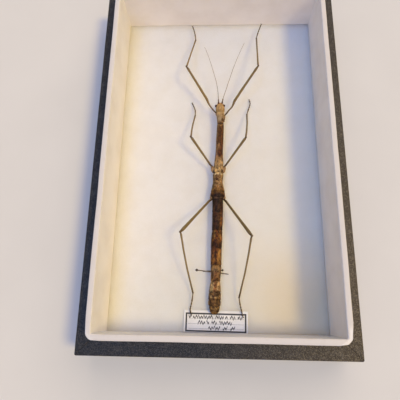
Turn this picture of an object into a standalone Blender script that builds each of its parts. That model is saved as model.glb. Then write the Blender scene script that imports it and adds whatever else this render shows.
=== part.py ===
"""A giant stick insect, dried and set with bent legs, in an open specimen case.

Lengths are in millimetres while a shape is made; `finish` scales each mesh to metres.
+X is the insect's right side, +Y its head end and +Z up. The origin is under the middle
of the case, on the surface that the case stands on.
"""

import math

import bmesh
import bpy
from mathutils import Matrix, Vector

MILLIMETRE = 0.001
GAP = 0.3  # left between neighbouring pieces

# The case: a black box, and a white liner that stands up out of it.
INNER_HALF_WIDTH = 83.1
INNER_HALF_LENGTH = 137.1
LINER_WALL = 4.1
BLACK_WALL = 10.8
CASE_HEIGHT = 54.0
LEDGE_HEIGHT = 36.4
BOARD = 2.9
FOAM = 10.0
FLOOR = BOARD + GAP + FOAM  # height of the foam's top, where the insect stands
LINER_CORNER_RADII = {"front_left": 4.0, "front_right": 3.0, "back_right": 1.5, "back_left": 1.5}
BLACK_CORNER_RADIUS = 1.2

# The data card, which lies against the front wall, and the two pins under the abdomen.
LABEL_SIZE = (47.9, 15.8)
LABEL_CENTRE = (-1.0, -128.9)
LABEL_THICKNESS = 0.5
LABEL_TURN = math.radians(-0.6)
PIN_LENGTH = 38.0
PIN_RADIUS = 0.33
PIN_POINT = 1.5  # length of the tapered end
# name: (head centre, point where the pin enters the foam, head radius)
PINS = {
    "pin_left": ((-15.8, -91.4, 6.0), (6.9, -93.5, 0.0), 1.05),
    "pin_right": ((4.0, -91.1, 3.8), (-9.7, -91.7, 0.0), 0.85),
}

# The insect. Heights are above the foam. The spine gives (y, x, height) of the middle of the body.
SPINE = (
    (50.0, 1.65, 9.0),
    (30.0, 1.9, 8.7),
    (0.0, 0.8, 7.9),
    (-20.0, -0.05, 7.5),
    (-54.0, -0.15, 6.6),
    (-75.0, -1.0, 6.2),
    (-95.0, -1.25, 5.9),
    (-110.0, -2.05, 4.5),
    (-124.0, -2.2, 3.5),
)
# name: (front y, rear y, half widths and half heights at even steps from front to rear)
BODY_PIECES = {
    "prothorax": (40.7, 30.4, (2.5, 2.8, 2.8, 2.55), (2.1, 2.5, 2.55, 2.3)),
    "mesothorax": (
        30.1,
        -13.2,
        (2.75, 2.85, 3.0, 2.9, 3.1, 3.75, 4.1),
        (2.4, 2.55, 2.65, 2.65, 2.8, 3.1, 3.3),
    ),
    "metathorax": (-13.5, -29.2, (4.2, 4.1, 3.8, 4.15, 4.75), (3.3, 3.2, 3.15, 3.3, 3.5)),
    "median_segment": (-29.5, -34.5, (4.8, 4.75, 4.4), (3.5, 3.45, 3.3)),
    "abdomen_02": (-34.8, -46.1, (4.3, 4.2, 4.2), (3.2, 3.1, 3.1)),
    "abdomen_03": (-46.4, -60.5, (4.2, 4.2, 4.0), (3.1, 3.1, 3.0)),
    "abdomen_04": (-60.8, -74.2, (4.0, 4.3, 4.15), (3.0, 3.1, 3.0)),
    "abdomen_05": (-74.5, -87.3, (4.15, 4.1, 4.05), (3.0, 3.0, 2.9)),
    "abdomen_06": (-87.6, -99.3, (4.05, 3.8, 3.5), (2.9, 2.8, 2.8)),
    "abdomen_07": (-99.6, -107.4, (3.55, 3.95, 4.15), (2.8, 2.9, 3.0)),
    "abdomen_08": (-107.7, -113.2, (4.15, 4.3, 4.35), (3.0, 3.0, 2.9)),
    "abdomen_09": (-113.5, -117.5, (4.35, 4.35, 4.1), (2.85, 2.7, 2.5)),
    "abdomen_10": (-117.8, -121.2, (4.0, 3.8, 3.4), (2.45, 2.2, 1.9)),
    "cerci": (-121.5, -123.9, (3.0, 2.4, 0.9), (1.75, 1.4, 0.7)),
}
BODY_SIDES = 16
BELLY = 0.86  # the underside's half height, against the back's
RIM = 0.95  # how far each piece draws in at its two ends
RIM_LENGTH = 0.5

# The head. (y, half width, half height, rise of the middle above the spine)
HEAD_RINGS = (
    (49.4, 1.5, 0.8, -0.5),
    (48.9, 2.4, 1.35, -0.35),
    (47.9, 3.05, 1.85, -0.1),
    (46.5, 3.35, 2.2, 0.0),
    (44.8, 3.45, 2.4, 0.0),
    (43.0, 3.35, 2.4, 0.0),
    (41.6, 3.0, 2.15, 0.0),
    (41.0, 2.6, 1.85, 0.0),
)
HEAD_SIDES = 20
EYE_RADIUS = 1.0
EYE_STRETCH = (1.0, 1.15, 1.1)
EYE_CENTRE = (3.05, 46.9, 9.35)  # the distance from the midline, y and height
MIDLINE = 1.65  # x of the head's midline
MOUTH_RINGS = (
    (49.1, 0.9, 0.5, -2.3),
    (48.5, 1.5, 0.9, -2.4),
    (47.0, 1.8, 1.2, -2.5),
    (45.2, 1.5, 0.9, -2.3),
)
PALP = ((1.1, 47.4, 6.2), (1.7, 48.7, 5.7), (1.5, 49.9, 5.3))
PALP_RADIUS = 0.28

# Antennae: the line from the socket to the tip, and (fraction of its length, radius).
ANTENNAE = {
    "antenna_left": ((0.1, 47.6, 9.6), (0.1, 52.2, 10.5), (-1.1, 65.6, 12.3), (-4.0, 75.6, 13.1),
                     (-7.5, 88.8, 13.7), (-11.9, 101.1, 13.9)),
    "antenna_right": ((3.3, 47.6, 9.6), (3.8, 52.2, 10.5), (7.7, 64.5, 12.3), (12.3, 79.4, 13.3),
                      (16.4, 90.9, 13.8), (22.1, 104.9, 14.0)),
}
ANTENNA_RADII = (
    (0.0, 0.55), (0.03, 0.62), (0.065, 0.62), (0.085, 0.42), (0.1, 0.34), (0.12, 0.42), (0.15, 0.33),
    (0.3, 0.3), (0.45, 0.29), (0.6, 0.28), (0.75, 0.27), (0.9, 0.26), (1.0, 0.25),
)

# The operculum, a boat-shaped plate under the end of the abdomen: (y, half width, bottom, top)
OPERCULUM_RINGS = (
    (-105.5, 1.2, 1.0, 1.5),
    (-107.5, 2.2, 0.6, 1.5),
    (-112.0, 2.6, 0.5, 1.4),
    (-117.0, 2.4, 0.8, 1.6),
    (-120.0, 1.8, 1.3, 1.9),
    (-121.8, 0.9, 1.6, 2.1),
)

# Rudimentary wings: scale-like pads on the back of the metathorax.
WING_CENTRE = (1.45, -16.9, 10.3)
WING_HALF_SIZE = (1.3, 2.9, 0.28)
WING_TILT = math.radians(20)

# The legs. Joints are (x, y, height); the femur's line runs from the trochanter to the knee.
LEGS = {
    "fore_left": {
        "coxa": ((0.3, 36.4, 6.8), (-2.3, 41.2, 7.5)),
        "femur": ((-2.3, 41.2, 7.5), (-5.1, 44.2, 8.6), (-7.9, 47.8, 10.0), (-9.4, 51.4, 11.0),
                  (-27.0, 77.1, 21.6)),
        "tibia": ((-27.0, 77.1, 21.6), (-20.8, 116.3, 5.6)),
        "tarsus": ((-20.8, 116.3, 5.6), (-21.2, 120.6, 5.0), (-22.6, 127.2, 4.2), (-24.1, 132.5, 3.7)),
    },
    "fore_right": {
        "coxa": ((4.2, 33.2, 6.8), (5.7, 38.3, 7.5)),
        "femur": ((5.7, 38.3, 7.5), (8.3, 42.0, 8.6), (11.8, 45.7, 10.0), (14.2, 51.0, 11.6),
                  (33.0, 76.2, 22.9)),
        "tibia": ((33.0, 76.2, 22.9), (34.0, 115.7, 8.0)),
        "tarsus": ((34.0, 115.7, 8.0), (35.2, 120.5, 7.6), (37.0, 126.0, 7.3), (38.7, 130.7, 7.3)),
    },
    "mid_left": {
        "coxa": ((-3.0, -12.2, 6.3), (-5.4, -7.4, 7.4)),
        "femur": ((-5.4, -7.4, 7.4), (-21.9, 13.4, 18.9)),
        "tibia": ((-21.9, 13.4, 18.9), (-21.6, 24.5, 12.8), (-19.7, 39.9, 5.5)),
        "tarsus": ((-19.7, 39.9, 5.5), (-19.6, 44.0, 4.4), (-20.8, 48.6, 2.8), (-22.8, 53.8, 1.4)),
    },
    "mid_right": {
        "coxa": ((3.2, -12.4, 6.3), (5.6, -7.6, 7.4)),
        "femur": ((5.6, -7.6, 7.4), (22.2, 13.6, 17.3)),
        "tibia": ((22.2, 13.6, 17.3), (24.0, 27.5, 10.8), (24.5, 41.4, 4.6)),
        "tarsus": ((24.5, 41.4, 4.6), (26.0, 46.5, 3.0), (27.8, 53.6, 1.7), (26.8, 56.8, 1.4)),
    },
    "hind_left": {
        "coxa": ((-3.5, -30.6, 6.0), (-5.6, -35.4, 6.9)),
        "femur": ((-5.6, -35.4, 6.9), (-27.5, -65.2, 23.2)),
        "tibia": ((-27.5, -65.2, 23.2), (-23.7, -87.0, 13.9), (-18.4, -108.6, 4.0)),
        "tarsus": ((-18.4, -108.6, 4.0), (-19.0, -113.6, 2.9), (-20.4, -120.6, 1.9), (-19.6, -123.6, 1.9)),
    },
    "hind_right": {
        "coxa": ((3.2, -30.8, 6.0), (5.3, -35.4, 6.9)),
        "femur": ((5.3, -35.4, 6.9), (24.7, -67.8, 24.2)),
        "tibia": ((24.7, -67.8, 24.2), (21.2, -89.5, 14.9), (16.2, -111.5, 5.0)),
        "tarsus": ((16.2, -111.5, 5.0), (16.9, -115.6, 3.4), (18.3, -121.8, 2.0), (19.2, -125.1, 1.9)),
    },
}
# (fraction of the length, radius) along each part of a leg
COXA_RADII = ((0.0, 1.5), (0.45, 1.85), (0.8, 1.4), (1.0, 0.95))
FEMUR_RADII = {
    "fore": ((0.0, 0.68), (0.09, 0.6), (0.2, 0.68), (0.27, 1.05), (0.5, 1.05), (0.8, 0.92), (0.95, 0.98),
             (1.0, 0.85)),
    "mid": ((0.0, 0.82), (0.1, 0.77), (0.5, 0.87), (0.8, 0.97), (0.94, 1.08), (1.0, 0.9)),
    "hind": ((0.0, 0.92), (0.1, 0.87), (0.4, 0.95), (0.7, 1.07), (0.93, 1.26), (1.0, 1.0)),
}
TIBIA_RADII = ((0.0, 0.8), (0.05, 0.72), (0.3, 0.66), (0.6, 0.62), (0.93, 0.62), (1.0, 0.7))
# Where each of the five joints of a foot ends, and the claws after them.
TARSUS_ENDS = (0.4, 0.56, 0.68, 0.78, 0.94)
TARSUS_NECK = 0.4
TARSUS_PAD = 0.56
LEG_SIDES = 8
LEG_PARTS = ("coxa", "femur", "tibia", "tarsus")
# The pieces that the coxae of each pair of legs lie against.
COXA_NEIGHBOURS = {
    "fore": ("prothorax", "head"),
    "mid": ("mesothorax", "metathorax"),
    "hind": ("metathorax", "median_segment", "abdomen_02"),
}

COLOURS = {  # base colour, roughness, metallic
    "shell_tan": ((0.42, 0.24, 0.1), 0.5, 0.0),
    "shell_brown": ((0.12, 0.045, 0.018), 0.45, 0.0),
    "shell_olive": ((0.2, 0.12, 0.045), 0.5, 0.0),
    "leg_olive": ((0.19, 0.13, 0.055), 0.5, 0.0),
    "feeler_brown": ((0.16, 0.1, 0.06), 0.6, 0.0),
    "eye_dark": ((0.05, 0.02, 0.012), 0.25, 0.0),
    "white_paper": ((0.82, 0.79, 0.76), 0.65, 0.0),
    "white_foam": ((0.86, 0.82, 0.76), 0.85, 0.0),
    "black_paper": ((0.02, 0.02, 0.022), 0.6, 0.0),
    "card": ((0.85, 0.83, 0.8), 0.7, 0.0),
    "pin_steel": ((0.25, 0.24, 0.22), 0.35, 0.9),
}


def clear_scene():
    for thing in list(bpy.data.objects):
        bpy.data.objects.remove(thing, do_unlink=True)


def material(name):
    found = bpy.data.materials.get(name)
    if found:
        return found
    colour, roughness, metallic = COLOURS[name]
    made = bpy.data.materials.new(name)
    made.use_nodes = True
    shader = made.node_tree.nodes["Principled BSDF"]
    shader.inputs["Base Color"].default_value = (*colour, 1.0)
    shader.inputs["Roughness"].default_value = roughness
    shader.inputs["Metallic"].default_value = metallic
    made.diffuse_color = (*colour, 1.0)
    return made


def finish(bm, name, finish_name=None, sharp_angle=35):
    """Makes the object of a mesh drawn in millimetres. Without a finish it is a hidden cutter."""
    bmesh.ops.scale(bm, vec=(MILLIMETRE,) * 3, verts=bm.verts)
    bmesh.ops.recalc_face_normals(bm, faces=bm.faces)
    mesh = bpy.data.meshes.new(name)
    bm.to_mesh(mesh)
    bm.free()
    made = bpy.data.objects.new(name, mesh)
    bpy.context.collection.objects.link(made)
    if finish_name is None:
        made.hide_render = True
        made.display_type = "WIRE"
    else:
        mesh.materials.append(material(finish_name))
        mesh.shade_smooth()
        mesh.set_sharp_from_angle(angle=math.radians(sharp_angle))
    return made


def boolean(target, tool, operation):
    modifier = target.modifiers.new(f"{operation.lower()}_{tool.name}", "BOOLEAN")
    modifier.operation = operation
    modifier.solver = "EXACT"
    modifier.object = tool


def steps_between(table, where):
    """The values that a table of (place, value, ...) rows gives at one place, by straight steps."""
    rows = sorted(table)
    where = min(max(where, rows[0][0]), rows[-1][0])
    for low, high in zip(rows, rows[1:]):
        if where <= high[0]:
            share = (where - low[0]) / (high[0] - low[0])
            return [a + (b - a) * share for a, b in zip(low[1:], high[1:])]


def smooth_line(points, steps=6):
    """A smooth curve through the points, as a denser line."""
    points = [Vector(point) for point in points]
    ends = [2 * points[0] - points[1]] + points + [2 * points[-1] - points[-2]]
    line = [points[0]]
    for before, start, end, after in zip(ends, ends[1:], ends[2:], ends[3:]):
        for step in range(1, steps + 1):
            t = step / steps
            line.append(
                0.5
                * (
                    2 * start
                    + (end - before) * t
                    + (2 * before - 5 * start + 4 * end - after) * t**2
                    + (3 * start - before - 3 * end + after) * t**3
                )
            )
    return line


def point_along(line, fraction):
    """The point at a fraction of the line's length."""
    lengths = [(b - a).length for a, b in zip(line, line[1:])]
    left = fraction * sum(lengths)
    for start, end, length in zip(line, line[1:], lengths):
        if left <= length:
            return start.lerp(end, left / length)
        left -= length
    return line[-1].copy()


def sweep(rings, sides):
    """A closed solid through rings, each given as the matrix that places a unit circle."""
    bm = bmesh.new()
    bmesh.ops.create_circle(bm, cap_ends=False, segments=sides, radius=1.0, matrix=rings[0])
    edges = list(bm.edges)
    for before, after in zip(rings, rings[1:]):
        made = bmesh.ops.extrude_edge_only(bm, edges=edges)["geom"]
        edges = [item for item in made if isinstance(item, bmesh.types.BMEdge)]
        moved = [item for item in made if isinstance(item, bmesh.types.BMVert)]
        bmesh.ops.transform(bm, matrix=after @ before.inverted(), verts=moved)
    bmesh.ops.holes_fill(bm, edges=bm.edges, sides=sides)
    return bm


def upright_ring(x, y, z, half_width, half_height):
    """An upright ring across the body, its circle in the XZ plane."""
    turn = Matrix.Rotation(math.pi / 2, 4, "X")
    return Matrix.Translation((x, y, z + FLOOR)) @ turn @ Matrix.Diagonal((half_width, half_height, 1, 1))


def leg_ring(centre, along, plane, radius):
    """A ring round a limb that runs along one direction, cut off square to another."""
    side = along.cross(Vector((0, 0, 1))).normalized()
    up = side.cross(along)
    placed = Matrix((side, up, along)).transposed()
    slant = Matrix.Identity(3)
    for row in range(3):
        for column in range(3):
            slant[row][column] -= along[row] * plane[column] / along.dot(plane)
    slanted = slant @ placed @ Matrix.Diagonal((radius, radius, 0))
    slanted.col[2] = plane
    return Matrix.Translation(centre + Vector((0, 0, FLOOR))) @ slanted.to_4x4()


def limb(line, radii, sides, start_plane=None, end_plane=None):
    """A tapering tube along a line, its ends cut to the planes where it meets its neighbours."""
    centres = [point_along(line, fraction) for fraction, _ in radii]
    ways = [(b - a).normalized() for a, b in zip(centres, centres[1:])]
    rings = []
    for index, (centre, (_, radius)) in enumerate(zip(centres, radii)):
        before = ways[max(index - 1, 0)]
        after = ways[min(index, len(ways) - 1)]
        plane = (before + after).normalized()
        if index == 0 and start_plane is not None:
            plane = start_plane
            centre = centre + before * (GAP / 2 / before.dot(plane))
        if index == len(radii) - 1 and end_plane is not None:
            plane = end_plane
            centre = centre - before * (GAP / 2 / before.dot(plane))
        rings.append(leg_ring(centre, before, plane, radius))
    return sweep(rings, sides)


def flatten_belly(bm, spine_height):
    """Draws the underside of a body piece in, so that its back is rounder than its belly."""
    for vert in bm.verts:
        middle = spine_height(vert.co.y) + FLOOR
        if vert.co.z < middle:
            vert.co.z = middle + (vert.co.z - middle) * BELLY


def spine_at(y):
    return steps_between(SPINE, y)


def body_rings(front, rear, widths, heights, grow=0.0):
    """Rings of one body piece. Its rims draw in, unless it is grown to cut its neighbours."""
    last = len(widths) - 1
    rim = RIM_LENGTH / (front - rear)
    fractions = sorted({0.0, rim, 1 - rim, 1.0} | {index / last for index in range(1, last)})
    width_table = [(index / last, width) for index, width in enumerate(widths)]
    height_table = [(index / last, height) for index, height in enumerate(heights)]
    rings = []
    for fraction in fractions:
        y = front + (rear - front) * fraction
        x, z = spine_at(y)
        factor = RIM if fraction in (0.0, 1.0) and not grow else 1.0
        width = steps_between(width_table, fraction)[0] * factor + grow
        height = steps_between(height_table, fraction)[0] * factor + grow
        rings.append(upright_ring(x, y, z, width, height))
    return rings


def above_operculum(bm, raise_by):
    """Cuts a tail piece off flat just above the operculum."""
    for vert in bm.verts:
        if OPERCULUM_RINGS[-1][0] < vert.co.y < OPERCULUM_RINGS[0][0]:
            top = steps_between([(y, top) for y, _, _, top in OPERCULUM_RINGS], vert.co.y)[0]
            vert.co.z = max(vert.co.z, top + raise_by + FLOOR)


def body_solid(name, grow=0.0):
    bm = sweep(body_rings(*BODY_PIECES[name], grow=grow), BODY_SIDES)
    flatten_belly(bm, lambda y: spine_at(y)[1])
    above_operculum(bm, GAP)
    return bm


def make_body():
    finishes = {"prothorax": "shell_tan", "mesothorax": "shell_brown", "metathorax": "shell_olive"}
    for name in BODY_PIECES:
        finish(body_solid(name), name, finishes.get(name, "shell_brown"))


def make_operculum():
    rings = []
    for y, half_width, bottom, top in OPERCULUM_RINGS:
        rings.append(upright_ring(spine_at(y)[0], y, top, half_width, top - bottom))
    bm = sweep(rings, BODY_SIDES)
    for vert in bm.verts:
        top = steps_between([(y, top) for y, _, _, top in OPERCULUM_RINGS], vert.co.y)[0] + FLOOR
        vert.co.z = min(vert.co.z, top)
    bmesh.ops.dissolve_limit(bm, angle_limit=math.radians(1), verts=bm.verts, edges=bm.edges)
    finish(bm, "operculum", "shell_olive")


def make_wings():
    metathorax = bpy.data.objects["metathorax"]
    for name, side in (("wing_left", -1), ("wing_right", 1)):
        offset, y, height = WING_CENTRE
        place = Matrix.Translation((spine_at(y)[0] + side * offset, y, height + FLOOR))
        place = place @ Matrix.Rotation(side * WING_TILT, 4, "Y")
        for grow in (0.0, GAP):
            wide, long, thick = (size + grow for size in WING_HALF_SIZE)
            base = place @ Matrix.Translation((0, 0, -thick)) @ Matrix.Diagonal((wide, long, 1, 1))
            top = place @ Matrix.Translation((0, 0, thick)) @ Matrix.Diagonal((wide, long, 1, 1))
            bm = sweep([base, top], LEG_SIDES + 4)
            if grow:
                boolean(metathorax, finish(bm, f"{name}_recess"), "DIFFERENCE")
            else:
                finish(bm, name, "shell_olive")


def head_solid(grow=0.0):
    rings = []
    for y, half_width, half_height, rise in HEAD_RINGS:
        height = spine_at(y)[1] + rise
        rings.append(upright_ring(MIDLINE, y, height, half_width + grow, half_height + grow))
    if grow:
        rings.insert(0, Matrix.Translation((0, grow, 0)) @ rings[0])
        rings.append(Matrix.Translation((0, -grow, 0)) @ rings[-1])
    return sweep(rings, HEAD_SIDES)


def clearance_of(name):
    """The cutter that keeps a neighbour clear of a body piece or of the head."""
    cutter = bpy.data.objects.get(f"{name}_clearance")
    if cutter:
        return cutter
    solid = head_solid(GAP) if name == "head" else body_solid(name, GAP)
    return finish(solid, f"{name}_clearance")


def eye_solid(side, grow=0.0):
    offset, y, height = EYE_CENTRE
    bm = bmesh.new()
    bmesh.ops.create_uvsphere(bm, u_segments=12, v_segments=8, radius=EYE_RADIUS + grow)
    bmesh.ops.scale(bm, vec=EYE_STRETCH, verts=bm.verts)
    bmesh.ops.translate(bm, vec=(MIDLINE + side * offset, y, height + FLOOR), verts=bm.verts)
    return bm


def make_head():
    head = finish(head_solid(), "head", "shell_tan")
    for name, side in (("eye_left", -1), ("eye_right", 1)):
        finish(eye_solid(side), name, "eye_dark")
        boolean(head, finish(eye_solid(side, GAP), f"{name}_socket"), "DIFFERENCE")
    rings = []
    for y, half_width, half_height, drop in MOUTH_RINGS:
        rings.append(upright_ring(MIDLINE, y, spine_at(y)[1] + drop, half_width, half_height))
    mouth = finish(sweep(rings, 12), "mouthparts", "shell_tan")
    boolean(mouth, clearance_of("head"), "DIFFERENCE")
    for name, side in (("palp_left", -1), ("palp_right", 1)):
        line = [Vector((MIDLINE + side * x, y, z)) for x, y, z in PALP]
        radii = [(step / 2, PALP_RADIUS) for step in range(3)]
        boolean(mouth, finish(limb(line, radii, 6), name), "UNION")
    for name, points in ANTENNAE.items():
        antenna = finish(limb(smooth_line(points), ANTENNA_RADII, 6), name, "feeler_brown")
        boolean(antenna, clearance_of("head"), "DIFFERENCE")


def tarsus_radii():
    """Each joint of the foot swells towards its far end, and the last tapers to the claws."""
    radii = []
    start = 0.0
    for end in TARSUS_ENDS:
        radii += [(start + 0.02, TARSUS_NECK), (end - 0.02, TARSUS_PAD)]
        start = end
    radii[0] = (0.0, TARSUS_PAD)
    return radii + [(0.97, 0.5), (1.0, 0.3)]


def cut_planes(lines):
    """For each two neighbouring parts of a leg, the direction that their joint is cut square to."""
    planes = {}
    for before, after in zip(LEG_PARTS, LEG_PARTS[1:]):
        arriving = (lines[before][-1] - lines[before][-2]).normalized()
        leaving = (lines[after][1] - lines[after][0]).normalized()
        planes[before, after] = (arriving + leaving).normalized()
    return planes


def make_leg(name, joints):
    kind = name.split("_")[0]
    radii = {
        "coxa": COXA_RADII,
        "femur": FEMUR_RADII[kind],
        "tibia": TIBIA_RADII,
        "tarsus": tarsus_radii(),
    }
    lines = {part: smooth_line(joints[part]) for part in LEG_PARTS}
    planes = cut_planes(lines)
    for before, part, after in zip((None, *LEG_PARTS), LEG_PARTS, (*LEG_PARTS[1:], None)):
        start_plane = planes.get((before, part))
        end_plane = planes.get((part, after))
        solid = limb(lines[part], radii[part], LEG_SIDES, start_plane, end_plane)
        made = finish(solid, f"{name}_{part}", "leg_olive")
        if part == "coxa":
            for neighbour in COXA_NEIGHBOURS[kind]:
                boolean(made, clearance_of(neighbour), "DIFFERENCE")


def pin_rings_of(head_radius):
    """(distance along the pin, radius) of a pin with a ball head."""
    stations = []
    for step in range(1, 6):
        angle = math.pi * step / 6.5
        stations.append((-head_radius * math.cos(angle), head_radius * math.sin(angle)))
    taper = PIN_LENGTH - PIN_POINT
    return stations + [(head_radius * 1.02, PIN_RADIUS), (taper, PIN_RADIUS), (PIN_LENGTH, PIN_RADIUS * 0.3)]


def pin_solid(head, entry, head_radius, grow=0.0):
    """A straight pin with a ball head. Grown, it is the hole that the pin makes in the foam."""
    top = Vector(head) + Vector((0, 0, FLOOR))
    way = (Vector(entry) - Vector(head)).normalized()
    turn = way.to_track_quat("Z", "Y").to_matrix().to_4x4()
    stations = pin_rings_of(head_radius)
    if grow:
        stations = [(0.0, PIN_RADIUS + grow), (PIN_LENGTH + grow, PIN_RADIUS + grow)]
    rings = []
    for distance, size in stations:
        place = Matrix.Translation(top + way * distance)
        rings.append(place @ turn @ Matrix.Diagonal((size, size, 1, 1)))
    return sweep(rings, LEG_SIDES)


def side_outline(side, inner, outer, radii):
    """The plan of one mitred side of a box, as (x, y) points, with its share of the round corners."""
    signs = {"front": (1, -1), "right": (1, 1), "back": (-1, 1), "left": (-1, -1)}
    corners = {(1, -1): "front_right", (1, 1): "back_right", (-1, 1): "back_left", (-1, -1): "front_left"}
    turn = list(signs)
    end = signs[side]
    start = signs[turn[turn.index(side) - 1]]
    along = Vector((end[0] - start[0], end[1] - start[1])).normalized()
    points = []
    for sign, direction in ((start, 1), (end, -1)):
        shift = along * direction * GAP / 2 * math.sqrt(2)
        radius = radii[corners[sign]]
        centre = Vector((sign[0] * (outer[0] - radius), sign[1] * (outer[1] - radius)))
        middle = math.atan2(sign[1], sign[0])
        arc = []
        for step in range(4):
            angle = middle + direction * step / 3 * math.pi / 4
            arc.append(centre + radius * Vector((math.cos(angle), math.sin(angle))) + shift)
        inside = Vector((sign[0] * inner[0], sign[1] * inner[1])) + shift
        points += [inside] + arc if direction == 1 else arc[::-1] + [inside]
    return points


def extruded(points, bottom, top):
    bm = bmesh.new()
    face = bm.faces.new([bm.verts.new((x, y, bottom)) for x, y in points])
    made = bmesh.ops.extrude_face_region(bm, geom=[face])["geom"]
    moved = [item for item in made if isinstance(item, bmesh.types.BMVert)]
    bmesh.ops.translate(bm, vec=(0, 0, top - bottom), verts=moved)
    return bm


def slab(half_width, half_length, bottom, top, centre=(0.0, 0.0), turn=0.0):
    bm = bmesh.new()
    bmesh.ops.create_cube(bm, size=2.0)
    bmesh.ops.scale(bm, vec=(half_width, half_length, (top - bottom) / 2), verts=bm.verts)
    bmesh.ops.rotate(bm, matrix=Matrix.Rotation(turn, 3, "Z"), verts=bm.verts)
    bmesh.ops.translate(bm, vec=(*centre, (top + bottom) / 2), verts=bm.verts)
    return bm


def make_case():
    inner = (INNER_HALF_WIDTH, INNER_HALF_LENGTH)
    liner = tuple(size + LINER_WALL for size in inner)
    black_inner = tuple(size + GAP for size in liner)
    black = tuple(size + BLACK_WALL for size in black_inner)
    foot = BOARD + GAP
    black_radii = dict.fromkeys(LINER_CORNER_RADII, BLACK_CORNER_RADIUS)
    finish(slab(*black, 0.0, BOARD), "case_bottom", "black_paper")
    for side in ("front", "right", "back", "left"):
        outline = side_outline(side, black_inner, black, black_radii)
        finish(extruded(outline, foot, LEDGE_HEIGHT), f"case_wall_{side}", "black_paper")
        outline = side_outline(side, inner, liner, LINER_CORNER_RADII)
        finish(extruded(outline, foot, CASE_HEIGHT), f"liner_{side}", "white_paper")
    foam = finish(slab(inner[0] - GAP, inner[1] - GAP, foot, FLOOR), "foam_floor", "white_foam")
    for name, (head, entry, head_radius) in PINS.items():
        finish(pin_solid(head, entry, head_radius), name, "pin_steel")
        boolean(foam, finish(pin_solid(head, entry, head_radius, GAP), f"{name}_hole"), "DIFFERENCE")
    label = slab(LABEL_SIZE[0] / 2, LABEL_SIZE[1] / 2, FLOOR + GAP, FLOOR + GAP + LABEL_THICKNESS,
                 LABEL_CENTRE, LABEL_TURN)
    finish(label, "label_card", "card")


clear_scene()
make_case()
make_body()
make_operculum()
make_wings()
make_head()
for leg_name, leg_joints in LEGS.items():
    make_leg(leg_name, leg_joints)
bpy.context.view_layer.update()
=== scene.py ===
# %% [markdown]
# # A giant stick insect in its specimen case
#
# A collector's stick insect is dried with its legs bent, pinned on white foam and kept in
# a shallow case. The measured model already gives every size and place. This lesson gives
# it its looks: the insect's skin and its markings, the lined case, the card and the light.

# %% Load the measured model
import math
import time

import bmesh
import bpy
import numpy as np
from mathutils import Matrix, Vector, noise


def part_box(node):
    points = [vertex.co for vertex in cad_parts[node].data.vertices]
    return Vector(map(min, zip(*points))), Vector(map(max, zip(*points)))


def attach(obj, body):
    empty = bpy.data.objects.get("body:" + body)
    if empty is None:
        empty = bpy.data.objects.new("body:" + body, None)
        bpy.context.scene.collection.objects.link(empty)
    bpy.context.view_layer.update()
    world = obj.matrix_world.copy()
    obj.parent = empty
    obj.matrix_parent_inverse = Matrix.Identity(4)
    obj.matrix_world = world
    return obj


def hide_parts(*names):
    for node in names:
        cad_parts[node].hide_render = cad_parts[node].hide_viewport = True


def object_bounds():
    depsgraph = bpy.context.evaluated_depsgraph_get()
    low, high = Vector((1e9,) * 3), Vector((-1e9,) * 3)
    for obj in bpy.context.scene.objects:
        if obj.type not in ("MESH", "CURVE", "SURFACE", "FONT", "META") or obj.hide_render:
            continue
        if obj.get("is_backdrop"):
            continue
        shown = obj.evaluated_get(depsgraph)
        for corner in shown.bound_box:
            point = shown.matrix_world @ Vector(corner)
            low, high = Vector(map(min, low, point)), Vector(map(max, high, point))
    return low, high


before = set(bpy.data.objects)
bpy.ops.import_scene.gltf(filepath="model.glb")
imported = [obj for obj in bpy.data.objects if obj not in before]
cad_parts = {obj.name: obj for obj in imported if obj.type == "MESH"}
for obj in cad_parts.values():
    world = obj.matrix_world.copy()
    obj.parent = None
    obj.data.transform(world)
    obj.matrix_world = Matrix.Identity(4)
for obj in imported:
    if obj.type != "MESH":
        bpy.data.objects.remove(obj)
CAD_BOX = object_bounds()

MM = 0.001
started = time.time()
print("model", [round(float(high - low) / MM, 1) for low, high in zip(*CAD_BOX)], "mm")

# %% [markdown]
# ## Measuring the model
#
# New pieces must lie where the measured solids lie. A box is enough for a board, but a bent
# leg needs its middle line. Slicing a copy of the solid with `bisect_plane` gives that
# line, and the thickness too, so nothing has to be copied by hand.

# %% Boxes and slices, in millimetres
X, Y, Z = Vector((1, 0, 0)), Vector((0, 1, 0)), Vector((0, 0, 1))


def box_of(*nodes):
    """The lowest and the highest corner of some nodes together."""
    corners = np.array([[tuple(corner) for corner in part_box(node)] for node in nodes]) / MM
    return Vector(corners[:, 0].min(axis=0)), Vector(corners[:, 1].max(axis=0))


def slices(node, along, shares):
    """Slices a copy of a node square to a direction. Each slice is the array of its points."""
    bm = bmesh.new()
    bm.from_mesh(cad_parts[node].data)
    bmesh.ops.scale(bm, vec=(1 / MM,) * 3, verts=bm.verts)
    bmesh.ops.remove_doubles(bm, verts=bm.verts, dist=0.001)
    reach = [vert.co.dot(along) for vert in bm.verts]
    found = []
    for share in shares:
        place = along * (min(reach) + (max(reach) - min(reach)) * share)
        everything = bm.verts[:] + bm.edges[:] + bm.faces[:]
        cut = bmesh.ops.bisect_plane(bm, geom=everything, dist=1e-5, plane_co=place, plane_no=along)
        points = [tuple(item.co) for item in cut["geom_cut"] if isinstance(item, bmesh.types.BMVert)]
        found.append(np.array(points))
    bm.free()
    return found


def long_way(node):
    """The direction of a limb's solid, from one end to the other."""
    points = np.array([tuple(vert.co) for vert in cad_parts[node].data.vertices]) / MM
    first = points[np.argmax(np.linalg.norm(points - points.mean(axis=0), axis=1))]
    last = points[np.argmax(np.linalg.norm(points - first, axis=1))]
    return Vector(last - first).normalized()


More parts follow.
